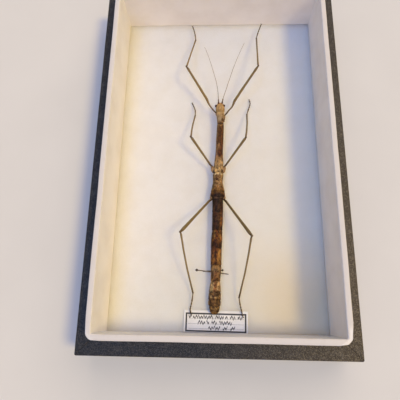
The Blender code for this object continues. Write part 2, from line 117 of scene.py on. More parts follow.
def middle_line(node, near, shares):
    """A limb's middle line, from the end that is nearest to a point, as a list of vectors."""
    line = [Vector(points.mean(axis=0)) for points in slices(node, long_way(node), shares)]
    return line if (line[0] - near).length < (line[-1] - near).length else line[::-1]


foam_top = box_of("foam_floor")[1].z
body_box = [tuple(round(value, 1) for value in corner) for corner in box_of("abdomen_10", "head")]
print("foam top", round(foam_top, 2), "mm; body box", body_box)

# %% [markdown]
# ## Smooth lines and tubes
#
# An insect is made of tubes: its trunk, its legs and its feelers. Extruding a circle from
# place to place makes one, but that slows down as the tube grows, so a flat grid is rolled
# up instead. Each row of the grid lies on a ring, whose matrix holds its place, its tilt
# and its width, so a table of a few widths is enough to shape a whole limb.


# %% A curve through a few values, and a tube through rings
def flow(table, place):
    """The smooth value at one place of a table of rows (place, value, value, ...)."""
    rows = sorted(table)
    places = [row[0] for row in rows]
    index = min(max(int(np.searchsorted(places, place)) - 1, 0), len(rows) - 2)
    before, start, end, after = (rows[min(max(index + step, 0), len(rows) - 1)] for step in (-1, 0, 1, 2))
    width = end[0] - start[0]
    t = min(max((place - start[0]) / width, 0.0), 1.0)
    values = []
    for a, b, c, d in zip(before[1:], start[1:], end[1:], after[1:]):
        leaving = (c - a) / (end[0] - before[0]) * width
        arriving = (d - b) / (after[0] - start[0]) * width
        values.append(
            b * (2 * t**3 - 3 * t**2 + 1)
            + leaving * (t**3 - 2 * t**2 + t)
            + c * (3 * t**2 - 2 * t**3)
            + arriving * (t**3 - t**2)
        )
    return values if len(values) > 1 else values[0]


def smooth_path(points, step):
    """A path with a point about every `step` along a smooth curve through the points."""
    lengths = [0.0]
    for start, end in zip(points, points[1:]):
        lengths.append(lengths[-1] + (end - start).length)
    table = [(length, *point) for length, point in zip(lengths, points)]
    count = max(int(lengths[-1] / step), 2)
    return [Vector(flow(table, lengths[-1] * index / count)) for index in range(count + 1)]


def ring_at(centre, along, width, height):
    """The matrix of a ring square to a direction, this wide and this high."""
    side = along.cross(Z).normalized()
    turn = Matrix((side, side.cross(along), along)).transposed().to_4x4()
    return Matrix.Translation(centre) @ turn @ Matrix.Diagonal((width, height, 1, 1))


def add_tube(bm, rings, sides, profile=None):
    """Rolls a grid up round the rings and closes its ends. A profile makes the rings uneven."""
    tube = bmesh.new()
    bmesh.ops.create_grid(tube, x_segments=sides, y_segments=len(rings) - 1, size=0.5)
    seam = [vert for vert in tube.verts if abs(vert.co.x) > 0.4999]
    for vert in tube.verts:
        angle = (vert.co.x + 0.5) * 2 * math.pi
        reach = profile(angle) if profile else 1.0
        ring = rings[round((vert.co.y + 0.5) * (len(rings) - 1))]
        vert.co = ring @ Vector((math.sin(angle) * reach, math.cos(angle) * reach, 0))
    bmesh.ops.remove_doubles(tube, verts=seam, dist=1e-5)
    bmesh.ops.holes_fill(tube, edges=[edge for edge in tube.edges if edge.is_boundary], sides=sides)
    mesh = bpy.data.meshes.new("tube")
    tube.to_mesh(mesh)
    tube.free()
    count = len(bm.verts)
    bm.from_mesh(mesh)
    bpy.data.meshes.remove(mesh)
    bm.verts.ensure_lookup_table()
    return bm.verts[count:]


def limb_rings(path, radii, height=1.0):
    """Rings along a path. The radii are rows (share of the length, radius)."""
    lengths = np.cumsum([0.0] + [(b - a).length for a, b in zip(path, path[1:])])
    rings = []
    for index, point in enumerate(path):
        ahead = path[min(index + 1, len(path) - 1)]
        behind = path[max(index - 1, 0)]
        radius = flow(radii, lengths[index] / lengths[-1])
        rings.append(ring_at(point, (ahead - behind).normalized(), radius, radius * height))
    return rings


def add_stalk(bm, points, step, radii, sides, height=1.0):
    """A tube along a smooth curve through a few points."""
    return add_tube(bm, limb_rings(smooth_path(points, step), radii, height), sides)


def facing(way):
    """The turn that points the Z axis along a direction."""
    return way.to_track_quat("Z", "Y").to_matrix().to_4x4()


def add_ball(bm, centre, size, turn, detail):
    """A ball or an egg shape with its poles on the Z axis, turned and put in place."""
    made = bmesh.ops.create_uvsphere(bm, u_segments=detail, v_segments=detail // 2 + 1, radius=1.0)["verts"]
    place = Matrix.Translation(centre) @ turn @ Matrix.Diagonal((*size, 1))
    bmesh.ops.transform(bm, matrix=place, verts=made)
    return made


# %% [markdown]
# ## A small language for finishes
#
# A finish is a graph of nodes. Wiring it by hand hides what it does, so one small class
# wraps a socket and lets Python's own arithmetic add the Math nodes. Everything else comes
# from one method, `node`, which takes the node's type, its settings and its sockets.


# %% Sockets that Python can calculate with
class Wire:
    """An output socket. Arithmetic on it adds Math nodes to its finish."""

    def __init__(self, finish, socket):
        self.finish = finish
        self.socket = socket

    def math(self, operation, *others):
        sockets = dict(enumerate((self, *others)))
        return self.finish.node("ShaderNodeMath", {"operation": operation}, sockets)

    def __add__(self, other):
        return self.math("ADD", other)

    def __sub__(self, other):
        return self.math("SUBTRACT", other)

    def __mul__(self, other):
        return self.math("MULTIPLY", other)

    def __truediv__(self, other):
        return self.math("DIVIDE", other)

    def __rsub__(self, other):
        return self.finish.node("ShaderNodeMath", {"operation": "SUBTRACT"}, {0: other, 1: self})

    __radd__ = __add__
    __rmul__ = __mul__


def paint(red, green, blue):
    """A linear colour from the 0 to 255 values that a paint chart gives."""
    chart = (value / 255 for value in (red, green, blue))
    return (*(v / 12.92 if v <= 0.04045 else ((v + 0.055) / 1.055) ** 2.4 for v in chart), 1.0)


class Finish:
    """A material under construction: a Principled shader and the nodes that feed it."""

    def __init__(self, name, **sockets):
        self.material = bpy.data.materials.new(name)
        self.material.use_nodes = True
        self.tree = self.material.node_tree
        self.shader = self.tree.nodes["Principled BSDF"]
        self.set(**{"Specular IOR Level": 0.4, **sockets})
        self.where = self.node("ShaderNodeTexCoord", output="Object")
        split = self.node("ShaderNodeSeparateXYZ", sockets={0: self.scaled(self.where, 1 / MM)})
        self.x, self.y, self.z = (Wire(self, socket) for socket in split.socket.node.outputs)

    def set(self, **sockets):
        for name, value in sockets.items():
            self.plug(self.shader.inputs[name], value)

    def plug(self, socket, value):
        if isinstance(value, Wire):
            self.tree.links.new(value.socket, socket)
        else:
            socket.default_value = value

    def node(self, kind, settings=None, sockets=None, output=0):
        """Adds any node: its settings first, then the values or links of its sockets."""
        made = self.tree.nodes.new(kind)
        for name, value in (settings or {}).items():
            if name == "stops":
                ramp = made.color_ramp
                while len(ramp.elements) < len(value):
                    ramp.elements.new(1.0)
                for element, (place, colour) in zip(ramp.elements, value):
                    element.position = place
                    element.color = colour
            else:
                setattr(made, name, value)
        for key, value in (sockets or {}).items():
            self.plug(made.inputs[key], value)
        return Wire(self, made.outputs[output])

    def scaled(self, vector, factor):
        return self.node("ShaderNodeVectorMath", {"operation": "SCALE"}, {0: vector, "Scale": factor})

    def mixed(self, factor, under, over):
        """One colour over another."""
        return self.node("ShaderNodeMix", {"data_type": "RGBA"}, {0: factor, 6: under, 7: over}, output=2)

    def tinted(self, factor, colour, tint):
        """A colour multiplied by a tint, as far as the factor says."""
        settings = {"data_type": "RGBA", "blend_type": "MULTIPLY"}
        return self.node("ShaderNodeMix", settings, {0: factor, 6: colour, 7: (*tint, 1.0)}, output=2)

    def rise(self, value, low, high):
        """0 below `low`, 1 above `high`, and a soft step between them."""
        sockets = {"Value": value, "From Min": low, "From Max": high}
        return self.node("ShaderNodeMapRange", {"interpolation_type": "SMOOTHSTEP"}, sockets)

    def between(self, value, low, high, soft):
        """1 between two places along a value, with soft edges."""
        off_middle = (value - (low + high) / 2).math("ABSOLUTE")
        reach = (high - low) / 2
        return self.rise(off_middle, reach + soft, reach - soft)

    def spread(self, stretch=(1, 1, 1), shift=0.0):
        """The place in millimetres, stretched along the axes and shifted."""
        scale = tuple(1 / MM / factor for factor in stretch)
        sockets = {"Vector": self.where, "Location": (shift, shift, 0.0), "Scale": scale}
        return self.node("ShaderNodeMapping", sockets=sockets)

    def grain(self, size, detail=3.0, roughness=0.5, stretch=(1, 1, 1), shift=0.0):
        """Noise from about 0 to 1 whose blotches are about `size` millimetres."""
        place = self.spread(stretch, shift)
        sockets = {"Vector": place, "Scale": 1 / size, "Detail": detail, "Roughness": roughness}
        return self.node("ShaderNodeTexNoise", sockets=sockets)

    def cells(self, size):
        """The distance from the middle of a cell, for cells about `size` millimetres wide."""
        return self.node("ShaderNodeTexVoronoi", sockets={"Vector": self.spread(), "Scale": 1 / size})

    def speckled(self, colour, rows):
        """Lays flecks over a colour, from rows (noise, its start, where it is full, strength, tone)."""
        for noise_wire, low, high, strength, tone in rows:
            colour = self.mixed(self.rise(noise_wire, low, high) * strength, colour, paint(*tone))
        return colour

    def bump(self, height, depth):
        """Bends the light as if the surface rose by `depth` millimetres where the height is 1."""
        sockets = {"Height": height, "Distance": depth * MM, "Strength": 1.0}
        return self.node("ShaderNodeBump", sockets=sockets)

    def surface(self, colour, roughness, height, depth, **more):
        """What every finish ends with: its colour, its roughness and its relief."""
        relief = self.bump(height, depth)
        self.set(**{"Base Color": colour, "Roughness": roughness, "Normal": relief, **more})


# %% Hanging a finished piece on the model
def show(bm, name, finish, slot, *replaced, sharp=40):
    """Turns a mesh drawn in millimetres into a piece of the model, with its faces outwards."""
    bmesh.ops.recalc_face_normals(bm, faces=bm.faces)
    bmesh.ops.scale(bm, vec=(MM,) * 3, verts=bm.verts)
    mesh = bpy.data.meshes.new(name)
    bm.to_mesh(mesh)
    bm.free()
    mesh.shade_smooth()
    mesh.set_sharp_from_angle(angle=math.radians(sharp))
    mesh.materials.append(finish.material)
    piece = bpy.data.objects.new(name, mesh)
    bpy.context.scene.collection.objects.link(piece)
    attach(piece, "root")
    if replaced:
        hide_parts(*replaced)
    print(f"{name}: {len(mesh.polygons)} faces")
    return piece

# %% [markdown]
# ## The black case
#
# An insect box has an outer case of board, covered with grained black paper. Its walls end
# low, so that a lid can slide over the white liner. The case is one square face: its
# corners are rounded, it is extruded to a block, and an inset face is sunk for the inside.
# The covering paper is folded over each corner at 45 degrees. The finish draws that fold
# as a fine dark groove, because it is far too shallow to model.


# %% Black grained paper
def black_paper():
    finish = Finish("black_grained_paper", **{"Specular IOR Level": 0.36})
    grain = finish.cells(0.8)
    coarse = finish.grain(2.6, detail=5.0, roughness=0.65)
    worn = finish.rise(finish.grain(7.0, detail=6.0, roughness=0.7, shift=3.0) + coarse * 0.25, 0.62, 0.86)
    fleck = finish.rise(finish.grain(0.6, detail=3.0, shift=9.0), 0.48, 0.62)
    # Painted lamp light: the paper turns warmer and lighter towards the right, where the warm lamp shines.
    painted_lamp_light = finish.rise(finish.x - finish.y * 0.3, 20.0, 130.0)
    colour = finish.mixed(finish.rise(coarse, 0.3, 0.7), paint(14, 14, 15), paint(30, 29, 29))
    for mask, tone in ((worn * 0.45, (80, 78, 76)), (painted_lamp_light * 0.2, (104, 84, 56))):
        colour = finish.mixed(mask, colour, paint(*tone))
    # The light flecks are the paper's grain and a painted sheen on it, lighter and warmer on the lamp's side.
    colour = finish.mixed(fleck * 0.5, colour, finish.mixed(painted_lamp_light, paint(92, 88, 84), paint(142, 130, 110)))
    off_fold = finish.x.math("ABSOLUTE") - finish.y.math("ABSOLUTE") + (well_y - well_x)
    fold = finish.between(off_fold, -0.15, 0.15, 0.25)
    colour = finish.mixed(fold * 0.7, colour, paint(14, 14, 15))
    finish.surface(colour, 0.42 + coarse * 0.25, grain + coarse * 0.6 - fold * 2.0, 0.14)
    return finish


# %% The case with its folded corners
CASE_CORNER = 1.2
CASE_EDGE = ((0.1, 0.35), (0.22, 0.2), (0.35, 0.08))  # (inset, rise) of the steps that round its edge
CORNER_STEPS = 5  # the small faces that round a corner
CORNER_MERGE = 0.6  # the inset corner's points lie closer than this, and become one
SIDES = ("front", "right", "back", "left")
walls = [f"case_wall_{side}" for side in SIDES]
case_low, case_high = box_of("case_bottom", *walls)
well_x = box_of("case_wall_right")[0].x
well_y = box_of("case_wall_back")[0].y
board_top = box_of("case_bottom")[1].z


def rounded_plate(bm, half_x, half_y, radii, height):
    """A flat face with rounded corners. The radii go round from the front left corner."""
    corners = bmesh.ops.create_grid(bm, x_segments=1, y_segments=1, size=1.0)["verts"]
    bmesh.ops.scale(bm, vec=(half_x, half_y, 1), verts=corners)
    bmesh.ops.translate(bm, vec=(0, 0, height), verts=corners)
    order = ((-1, -1), (1, -1), (1, 1), (-1, 1))
    for (side_x, side_y), radius in zip(order, radii):
        corner = next(v for v in corners if v.is_valid and v.co.x * side_x > 0 and v.co.y * side_y > 0)
        corners.remove(corner)
        rounding = {"offset": radius, "segments": CORNER_STEPS, "profile": 0.5, "material": -1}
        bmesh.ops.bevel(bm, geom=[corner], affect="VERTICES", **rounding)


def raised(bm, faces, rise):
    """Extrudes faces along Z and returns the verts that moved."""
    made = bmesh.ops.extrude_face_region(bm, geom=faces)["geom"]
    verts = [item for item in made if isinstance(item, bmesh.types.BMVert)]
    bmesh.ops.translate(bm, vec=(0, 0, rise), verts=verts)
    return verts


bm = bmesh.new()
rounded_plate(bm, case_high.x, case_high.y, [CASE_CORNER] * 4, case_low.z)
raised(bm, bm.faces[:], case_high.z - case_low.z - sum(rise for _, rise in CASE_EDGE))
edge_width = sum(inset for inset, _ in CASE_EDGE)
to_square = CASE_CORNER - edge_width - 0.02
for inset, rise in (*CASE_EDGE, (to_square, 0.0), (case_high.x - well_x - edge_width - to_square, 0.0)):
    top = [max(bm.faces, key=lambda face: (round(face.calc_center_median().z, 3), face.calc_area()))]
    bmesh.ops.inset_region(bm, faces=top, thickness=inset, use_even_offset=True)
    bmesh.ops.translate(bm, vec=(0, 0, rise), verts=top[0].verts)
    if inset == to_square:
        bmesh.ops.remove_doubles(bm, verts=top[0].verts, dist=CORNER_MERGE)
raised(bm, top, board_top - case_high.z)
bmesh.ops.delete(bm, geom=top, context="FACES_ONLY")
show(bm, "black_case", black_paper(), "black_paper", "case_bottom", *walls, sharp=30)

# %% [markdown]
# ## The white liner
#
# The liner is a frame of board covered with white paper. Two outlines with the same number
# of points, one inside the other, are bridged to a flat ring, and the ring is extruded
# upwards. The paper makes its rim soft, and years of handling have bruised its corners, so
# the rim is bevelled and its points are moved a little.


# %% White lining paper
def white_paper():
    finish = Finish("white_lining_paper", **{"Specular IOR Level": 0.35})
    cloud = finish.grain(22.0, detail=4.0)
    fibre = finish.grain(0.5, detail=3.0, stretch=(1, 1, 3))
    rim = box_of("liner_front")[1].z
    bruises = finish.rise(finish.grain(3.5, detail=5.0, shift=5.0), 0.5, 0.75)
    worn_edge = finish.rise(finish.z, rim - 1.6, rim) * bruises
    colour = finish.mixed(finish.rise(cloud, 0.35, 0.7), paint(240, 236, 232), paint(232, 227, 222))
    colour = finish.mixed(worn_edge * 0.4, colour, paint(196, 186, 176))
    colour = finish.mixed(finish.rise(finish.z, rim - 0.5, rim - 0.1) * 0.8, colour, paint(212, 205, 199))
    # Painted shade: the inside of the front wall, below the rim, is tinted greyer and bluer, as it lies in shade.
    in_the_front = finish.between(finish.y, -inner_y - 0.5, -inner_y + 0.6, 0.2)
    between_the_sides = finish.rise(finish.x.math("ABSOLUTE"), inner_x + 0.1, inner_x - 0.3)
    painted_shade_face = in_the_front * between_the_sides * finish.rise(finish.z, rim - 0.4, rim - 1.2)
    colour = finish.tinted(painted_shade_face, colour, (0.7, 0.74, 0.8))
    finish.surface(colour, 0.5 + cloud * 0.2, fibre + cloud, 0.04)
    return finish


# %% The liner
LINER_CORNERS = (4.0, 3.0, 1.5, 1.5)  # outer radii, from the front left corner round
INNER_CORNER = 0.8
WALL_STEPS, UPRIGHT_STEPS = 24, 5  # cuts along and up the walls, so that they can be bent a little
LONG_EDGE = 20.0
RIM_RADIUS = 0.75
liner_nodes = [f"liner_{side}" for side in SIDES]
liner_low, liner_high = box_of(*liner_nodes)
inner_x = box_of("liner_right")[0].x
inner_y = box_of("liner_back")[0].y


def is_long(edge):
    return edge.calc_length() > LONG_EDGE


bm = bmesh.new()
rounded_plate(bm, liner_high.x, liner_high.y, LINER_CORNERS, liner_low.z)
rounded_plate(bm, inner_x, inner_y, [INNER_CORNER] * 4, liner_low.z)
bmesh.ops.delete(bm, geom=bm.faces[:], context="FACES_ONLY")
bmesh.ops.subdivide_edges(bm, edges=[edge for edge in bm.edges if is_long(edge)], cuts=WALL_STEPS)
bmesh.ops.bridge_loops(bm, edges=bm.edges[:])
raised(bm, bm.faces[:], liner_high.z - liner_low.z)
upright = [edge for edge in bm.edges if abs(edge.verts[0].co.z - edge.verts[1].co.z) > LONG_EDGE]
bmesh.ops.subdivide_edges(bm, edges=upright, cuts=UPRIGHT_STEPS)
bmesh.ops.recalc_face_normals(bm, faces=bm.faces)
rim = [
    edge for edge in bm.edges
    if edge.calc_face_angle(0) > 1.0 and min(vert.co.z for vert in edge.verts) > liner_high.z - 0.01
]
bmesh.ops.bevel(bm, geom=rim, affect="EDGES", offset=RIM_RADIUS, segments=4, profile=0.5, material=-1)
# (place, reach, push): the places that were knocked
KNOCKS = (
    ((liner_high.x, liner_low.y, liner_high.z), 7.0, (-1.6, 1.3, -1.5)),
    ((liner_low.x, liner_low.y, liner_high.z), 9.0, (1.1, 0.5, -0.5)),
    ((-66.0, liner_low.y, liner_high.z), 1.6, (0.0, 0.6, -0.5)),
)
for vert in bm.verts:
    height = (vert.co.z - liner_low.z) / (liner_high.z - liner_low.z)
    wobble = Vector((noise.noise(vert.co / 31.0), noise.noise(vert.co / 31.0 + X * 7), 0))
    inward = vert.co.x * wobble.x + vert.co.y * wobble.y < 0
    vert.co += wobble * height * (0.35 if inward else 0.1)
    for place, reach, push in KNOCKS:
        near = max(1 - (vert.co - Vector(place)).length / reach, 0.0)
        vert.co += Vector(push) * near * near * (3 - 2 * near)
show(bm, "white_liner", white_paper(), "white_paper", *liner_nodes, sharp=60)

# %% [markdown]
# ## The foam that the insect is pinned to
#
# The bottom is a sheet of fine white foam. Seen closely it has pores and a slight swell, so
# a grid is extruded to a slab, its top is moved by soft noise, and the pores are bump. Its
# thin walls let light through, so shadows on it are soft: that is the shader's subsurface.


# %% Foam sheet
def foam():
    glow = {"Subsurface Weight": 0.6, "Subsurface Radius": (1.0, 0.9, 0.8), "Subsurface Scale": 0.03}
    finish = Finish("white_foam", **{"Specular IOR Level": 0.2, **glow})
    pores = finish.rise(finish.cells(0.5), 0.0, 0.55)
    cloud = finish.grain(16.0, detail=5.0, roughness=0.6)
    colour = finish.mixed(finish.rise(cloud, 0.3, 0.75), paint(240, 234, 226), paint(235, 228, 218))
    colour = finish.mixed(0.3 - pores * 0.3, colour, paint(212, 204, 190))
    # Painted warm light: the foam grows warmer towards the right and the front, the warm lamp's side.
    painted_warm_light = finish.rise(finish.x - finish.y * 0.35, -30.0, 110.0)
    colour = finish.mixed(painted_warm_light * 0.6, colour, paint(242, 230, 206))
    # Painted shade: the front right corner is tinted warmer and darker, where the cool window light is shaded off.
    painted_shade_corner = finish.rise(finish.x, 0.0, 60.0) * finish.rise(finish.y, -50.0, -110.0)
    colour = finish.tinted(painted_shade_corner, colour, (1.0, 0.885, 0.76))
    finish.surface(colour, 0.85, pores + cloud * 2.0, 0.05)
    return finish


FOAM_TUCK = 2.5  # how far the sheet is squeezed in under the liner's walls
FOAM_SWELL, FOAM_SAG = 0.08, 0.12  # how much its top waves, and how far it lies below the measured one
foam_low, foam_high = box_of("foam_floor")
bm = bmesh.new()
bmesh.ops.create_grid(bm, x_segments=56, y_segments=92, size=1.0)
bmesh.ops.scale(bm, vec=(foam_high.x + FOAM_TUCK, foam_high.y + FOAM_TUCK, 1), verts=bm.verts)
bmesh.ops.translate(bm, vec=(0, 0, foam_low.z), verts=bm.verts)
surface = raised(bm, bm.faces[:], foam_high.z - foam_low.z)
for vert in surface:
    vert.co.z += FOAM_SWELL * noise.noise(vert.co / 24.0) - FOAM_SAG
show(bm, "foam_sheet", foam(), "white_foam", "foam_floor")

# %% [markdown]
# ## The insect's trunk
#
# A stick insect's trunk is a row of hard rings: the head, three rings of the thorax and ten
# of the abdomen. Slices of the measured solids give its width and height at every place.
# One tube follows them from the mouth to the tail, so the skin has no seam.
# Then its points are moved to carve the joints, the keel along the back, the fold along
# each side and the wrinkles of the dried shell.

# %% The trunk's sizes
TRUNK = ["head", "prothorax", "mesothorax", "metathorax", "median_segment"]
TRUNK += [f"abdomen_{number:02d}" for number in range(2, 11)]
SLICE_SHARES = (0.05, 0.2, 0.35, 0.5, 0.65, 0.8, 0.95)
trunk_table = []  # (y, middle x, middle z, half width, height above the middle, depth below it)
for name in TRUNK:
    for points in slices(name, Y, SLICE_SHARES):
        low, high = points.min(axis=0), points.max(axis=0)
        middle = (low[2] + high[2]) / 2 if name == "head" else points[np.argmax(points[:, 0])][2]
        middle_x, half_width = (low[0] + high[0]) / 2, (high[0] - low[0]) / 2
        trunk_table.append((low[1], middle_x, middle, half_width, high[2] - middle, middle - low[2]))
trunk_table.sort()
trunk_ends = box_of("abdomen_10")[0].y, box_of("head")[1].y
trunk_joints = [(box_of(rear)[1].y + box_of(front)[0].y) / 2 for front, rear in zip(TRUNK, TRUNK[1:])]
print("trunk from", [round(end, 1) for end in trunk_ends])

# %% [markdown]
# ## The skin's colours
#
# The dry shell is tan on the head, dark brown on the long second ring, nearly black at the
# waist and streaked behind it. A ramp along the body gives each ring its ground colour. On
# it lie marks: soft patches between two places along the body and two places across it.
# Noise bends both measures, so that the edges of the marks waver as pigment does.

# %% Ground colours along the trunk
GROUND = (
    (50.0, (193, 144, 82)), (42.6, (180, 145, 93)), (41.5, (164, 131, 83)), (40.3, (194, 160, 107)),
    (35.0, (157, 131, 95)), (31.4, (135, 104, 67)), (30.0, (114, 82, 49)), (28.5, (96, 68, 37)),
    (14.0, (101, 63, 31)), (1.5, (90, 54, 28)), (-3.5, (146, 115, 74)), (-12.0, (174, 144, 97)),
    (-17.0, (138, 108, 70)), (-20.5, (124, 95, 57)), (-28.6, (106, 77, 35)), (-31.8, (92, 59, 25)),
    (-35.0, (55, 38, 26)), (-45.5, (45, 25, 15)), (-51.0, (73, 45, 23)), (-58.2, (52, 31, 15)),
    (-62.8, (74, 46, 21)), (-67.5, (116, 72, 29)), (-70.0, (81, 46, 13)), (-73.2, (70, 37, 14)),
    (-76.8, (91, 54, 25)), (-83.0, (115, 77, 35)), (-88.0, (97, 64, 29)), (-92.0, (105, 79, 53)),
    (-98.5, (106, 75, 42)), (-101.0, (146, 113, 71)), (-106.0, (117, 91, 58)), (-109.0, (98, 71, 40)),
)


def ramp_along(finish, place, rows):
    """A ramp whose stops are given in millimetres."""
    low, high = rows[-1][0], rows[0][0]
    stops = [((y - low) / (high - low), paint(*colour)) for y, colour in reversed(rows)]
    return finish.node("ShaderNodeValToRGB", {"stops": stops}, {0: (place - low) / (high - low)})


# %% Marks on the trunk
# (colour, strength, along from, along to, across from, across to, arch, vee)
# Across goes from -1 at the left side to 1 at the right. The last two are left out where a
# mark is straight. An arch bends it in a round curve along the body, a vee in two straight arms.
MARKS = (
    ((108, 74, 41), 0.6, 41.4, 42.3, -0.9, 0.9, -0.5, 0.0),
    ((175, 145, 102), 0.5, 43.5, 46.5, -0.7, 0.7),
    ((110, 80, 46), 0.6, 35.4, 38.8, 0.5, 0.95),
    ((79, 50, 26), 0.4, 37.3, 37.8, -0.9, 0.9),
    ((199, 176, 138), 0.5, 31.5, 34.5, -0.7, 0.3),
    ((47, 27, 11), 0.97, 28.9, 29.8, -0.95, 1.1),
    ((176, 136, 85), 0.85, 27.7, 28.5, -0.9, 0.9),
    ((145, 114, 71), 0.45, 2.0, 28.5, -1.2, -0.55),
    ((63, 31, 10), 0.55, 1.5, 28.0, 0.05, 1.0),
    ((48, 26, 8), 0.5, 22.8, 25.6, -0.4, 0.3),
    ((57, 34, 16), 0.45, 14.2, 16.8, -0.6, 0.2),
    ((172, 136, 92), 0.35, 6.5, 12.5, -0.5, 0.1),
    ((172, 134, 104), 0.6, -0.8, 5.0, -0.75, -0.35),
    ((81, 36, 12), 0.75, 0.3, 4.2, -0.1, 0.7),
    ((182, 153, 112), 0.45, -11.0, -2.0, 0.35, 0.8),
    ((63, 41, 23), 0.95, -13.9, -11.0, -1.2, -0.7),
    ((65, 42, 22), 0.95, -13.9, -11.2, 0.55, 0.95),
    ((53, 34, 18), 0.9, -13.7, -12.6, -0.08, 0.14),
    ((203, 182, 141), 0.85, -15.9, -14.5, -0.9, 0.9, -0.4, 0.0),
    ((84, 55, 35), 0.6, -19.2, -15.2, -1.1, -0.72),
    ((53, 22, 11), 0.97, -20.6, -18.8, -0.42, 0.12),
    ((160, 126, 82), 0.75, -21.8, -21.0, -0.8, 0.8),
    ((160, 126, 90), 0.6, -27.0, -21.8, -0.45, -0.15),
    ((167, 132, 99), 0.5, -27.0, -21.8, 0.1, 0.38),
    ((104, 91, 51), 0.5, -27.5, -20.5, -1.1, -0.6),
    ((125, 87, 43), 0.55, -29.3, -26.0, -0.7, 0.8),
    ((39, 22, 13), 0.93, -39.0, -30.3, -1.2, 1.2, 3.6, 0.0),
    ((151, 120, 98), 0.55, -34.9, -34.4, -0.8, 0.8),
    ((65, 32, 11), 0.65, -46.0, -38.5, 0.42, 1.0),
    ((112, 76, 55), 0.3, -46.2, -42.5, -0.85, -0.5),
    ((43, 25, 15), 0.6, -59.5, -46.6, -1.0, -0.1),
    ((108, 67, 29), 0.75, -58.5, -47.5, 0.45, 0.95),
    ((42, 23, 11), 0.5, -60.6, -57.0, -1.0, 1.0),
    ((122, 91, 48), 0.7, -67.5, -61.2, -0.66, -0.3),
    ((144, 99, 48), 0.75, -67.8, -61.2, 0.35, 0.85),
    ((106, 50, 14), 0.6, -68.0, -61.0, -0.16, 0.16),
    ((24, 16, 9), 0.95, -67.2, -62.4, -1.3, -0.74),
    ((61, 34, 12), 0.5, -74.4, -68.6, -1.0, 1.0),
    ((100, 60, 29), 0.4, -86.0, -75.0, -0.95, -0.4),
    ((148, 107, 54), 0.8, -86.8, -75.4, 0.38, 0.85),
    ((84, 43, 9), 0.65, -86.5, -75.5, -0.22, 0.2),
    ((61, 34, 9), 0.55, -87.6, -85.8, -0.9, 0.7),
    ((133, 109, 75), 0.45, -92.5, -88.0, -0.9, 0.9, 0.0, -0.6),
    ((110, 55, 21), 0.35, -99.2, -92.5, -0.2, 0.2),
    ((91, 58, 26), 0.6, -99.6, -97.6, -0.7, 0.7, 0.0, 0.8),
    ((178, 149, 104), 0.7, -106.5, -99.8, -0.95, -0.3),
    ((180, 146, 104), 0.7, -107.0, -99.8, 0.35, 0.95),
    ((138, 84, 46), 0.6, -107.2, -99.8, -0.24, 0.26),
    ((105, 99, 70), 0.5, -107.6, -104.0, -0.9, -0.4),
    ((56, 33, 15), 0.55, -110.6, -109.2, -0.9, 0.9, 0.0, 1.6),
    ((204, 172, 123), 0.45, -112.6, -111.6, -0.8, 0.9, 0.0, -1.4),
    ((57, 39, 25), 0.6, -116.6, -115.2, -0.95, 0.95, 0.0, 1.4),
    ((152, 119, 76), 0.45, -121.0, -118.2, -0.6, 0.7),
)


def add_marks(finish, colour, along, across, marks):
    """Lays each mark over the colour below it."""
    bends = (across * across, across.math("ABSOLUTE"))
    for tone, strength, rear, front, left, right, *amounts in marks:
        place = along
        for bend, amount in zip(bends, amounts):
            if amount:
                place = place + bend * amount
        soft = min((front - rear) * 0.3, 1.4)
        mask = finish.between(place, rear, front, soft) * finish.between(across, left, right, 0.1)
        colour = finish.mixed(mask * strength, colour, paint(*tone))
    return colour


# %% Finish of the trunk
JOINT_TONE = (36, 24, 16)
RING_SPOT = (33.0, 0.72)  # the round dark spot on the first ring: its place along and across
SHADE_TINT, BLOOM_TINT = (0.3, 0.24, 0.18), (1.8, 1.65, 1.35)  # what the mottle multiplies a colour by


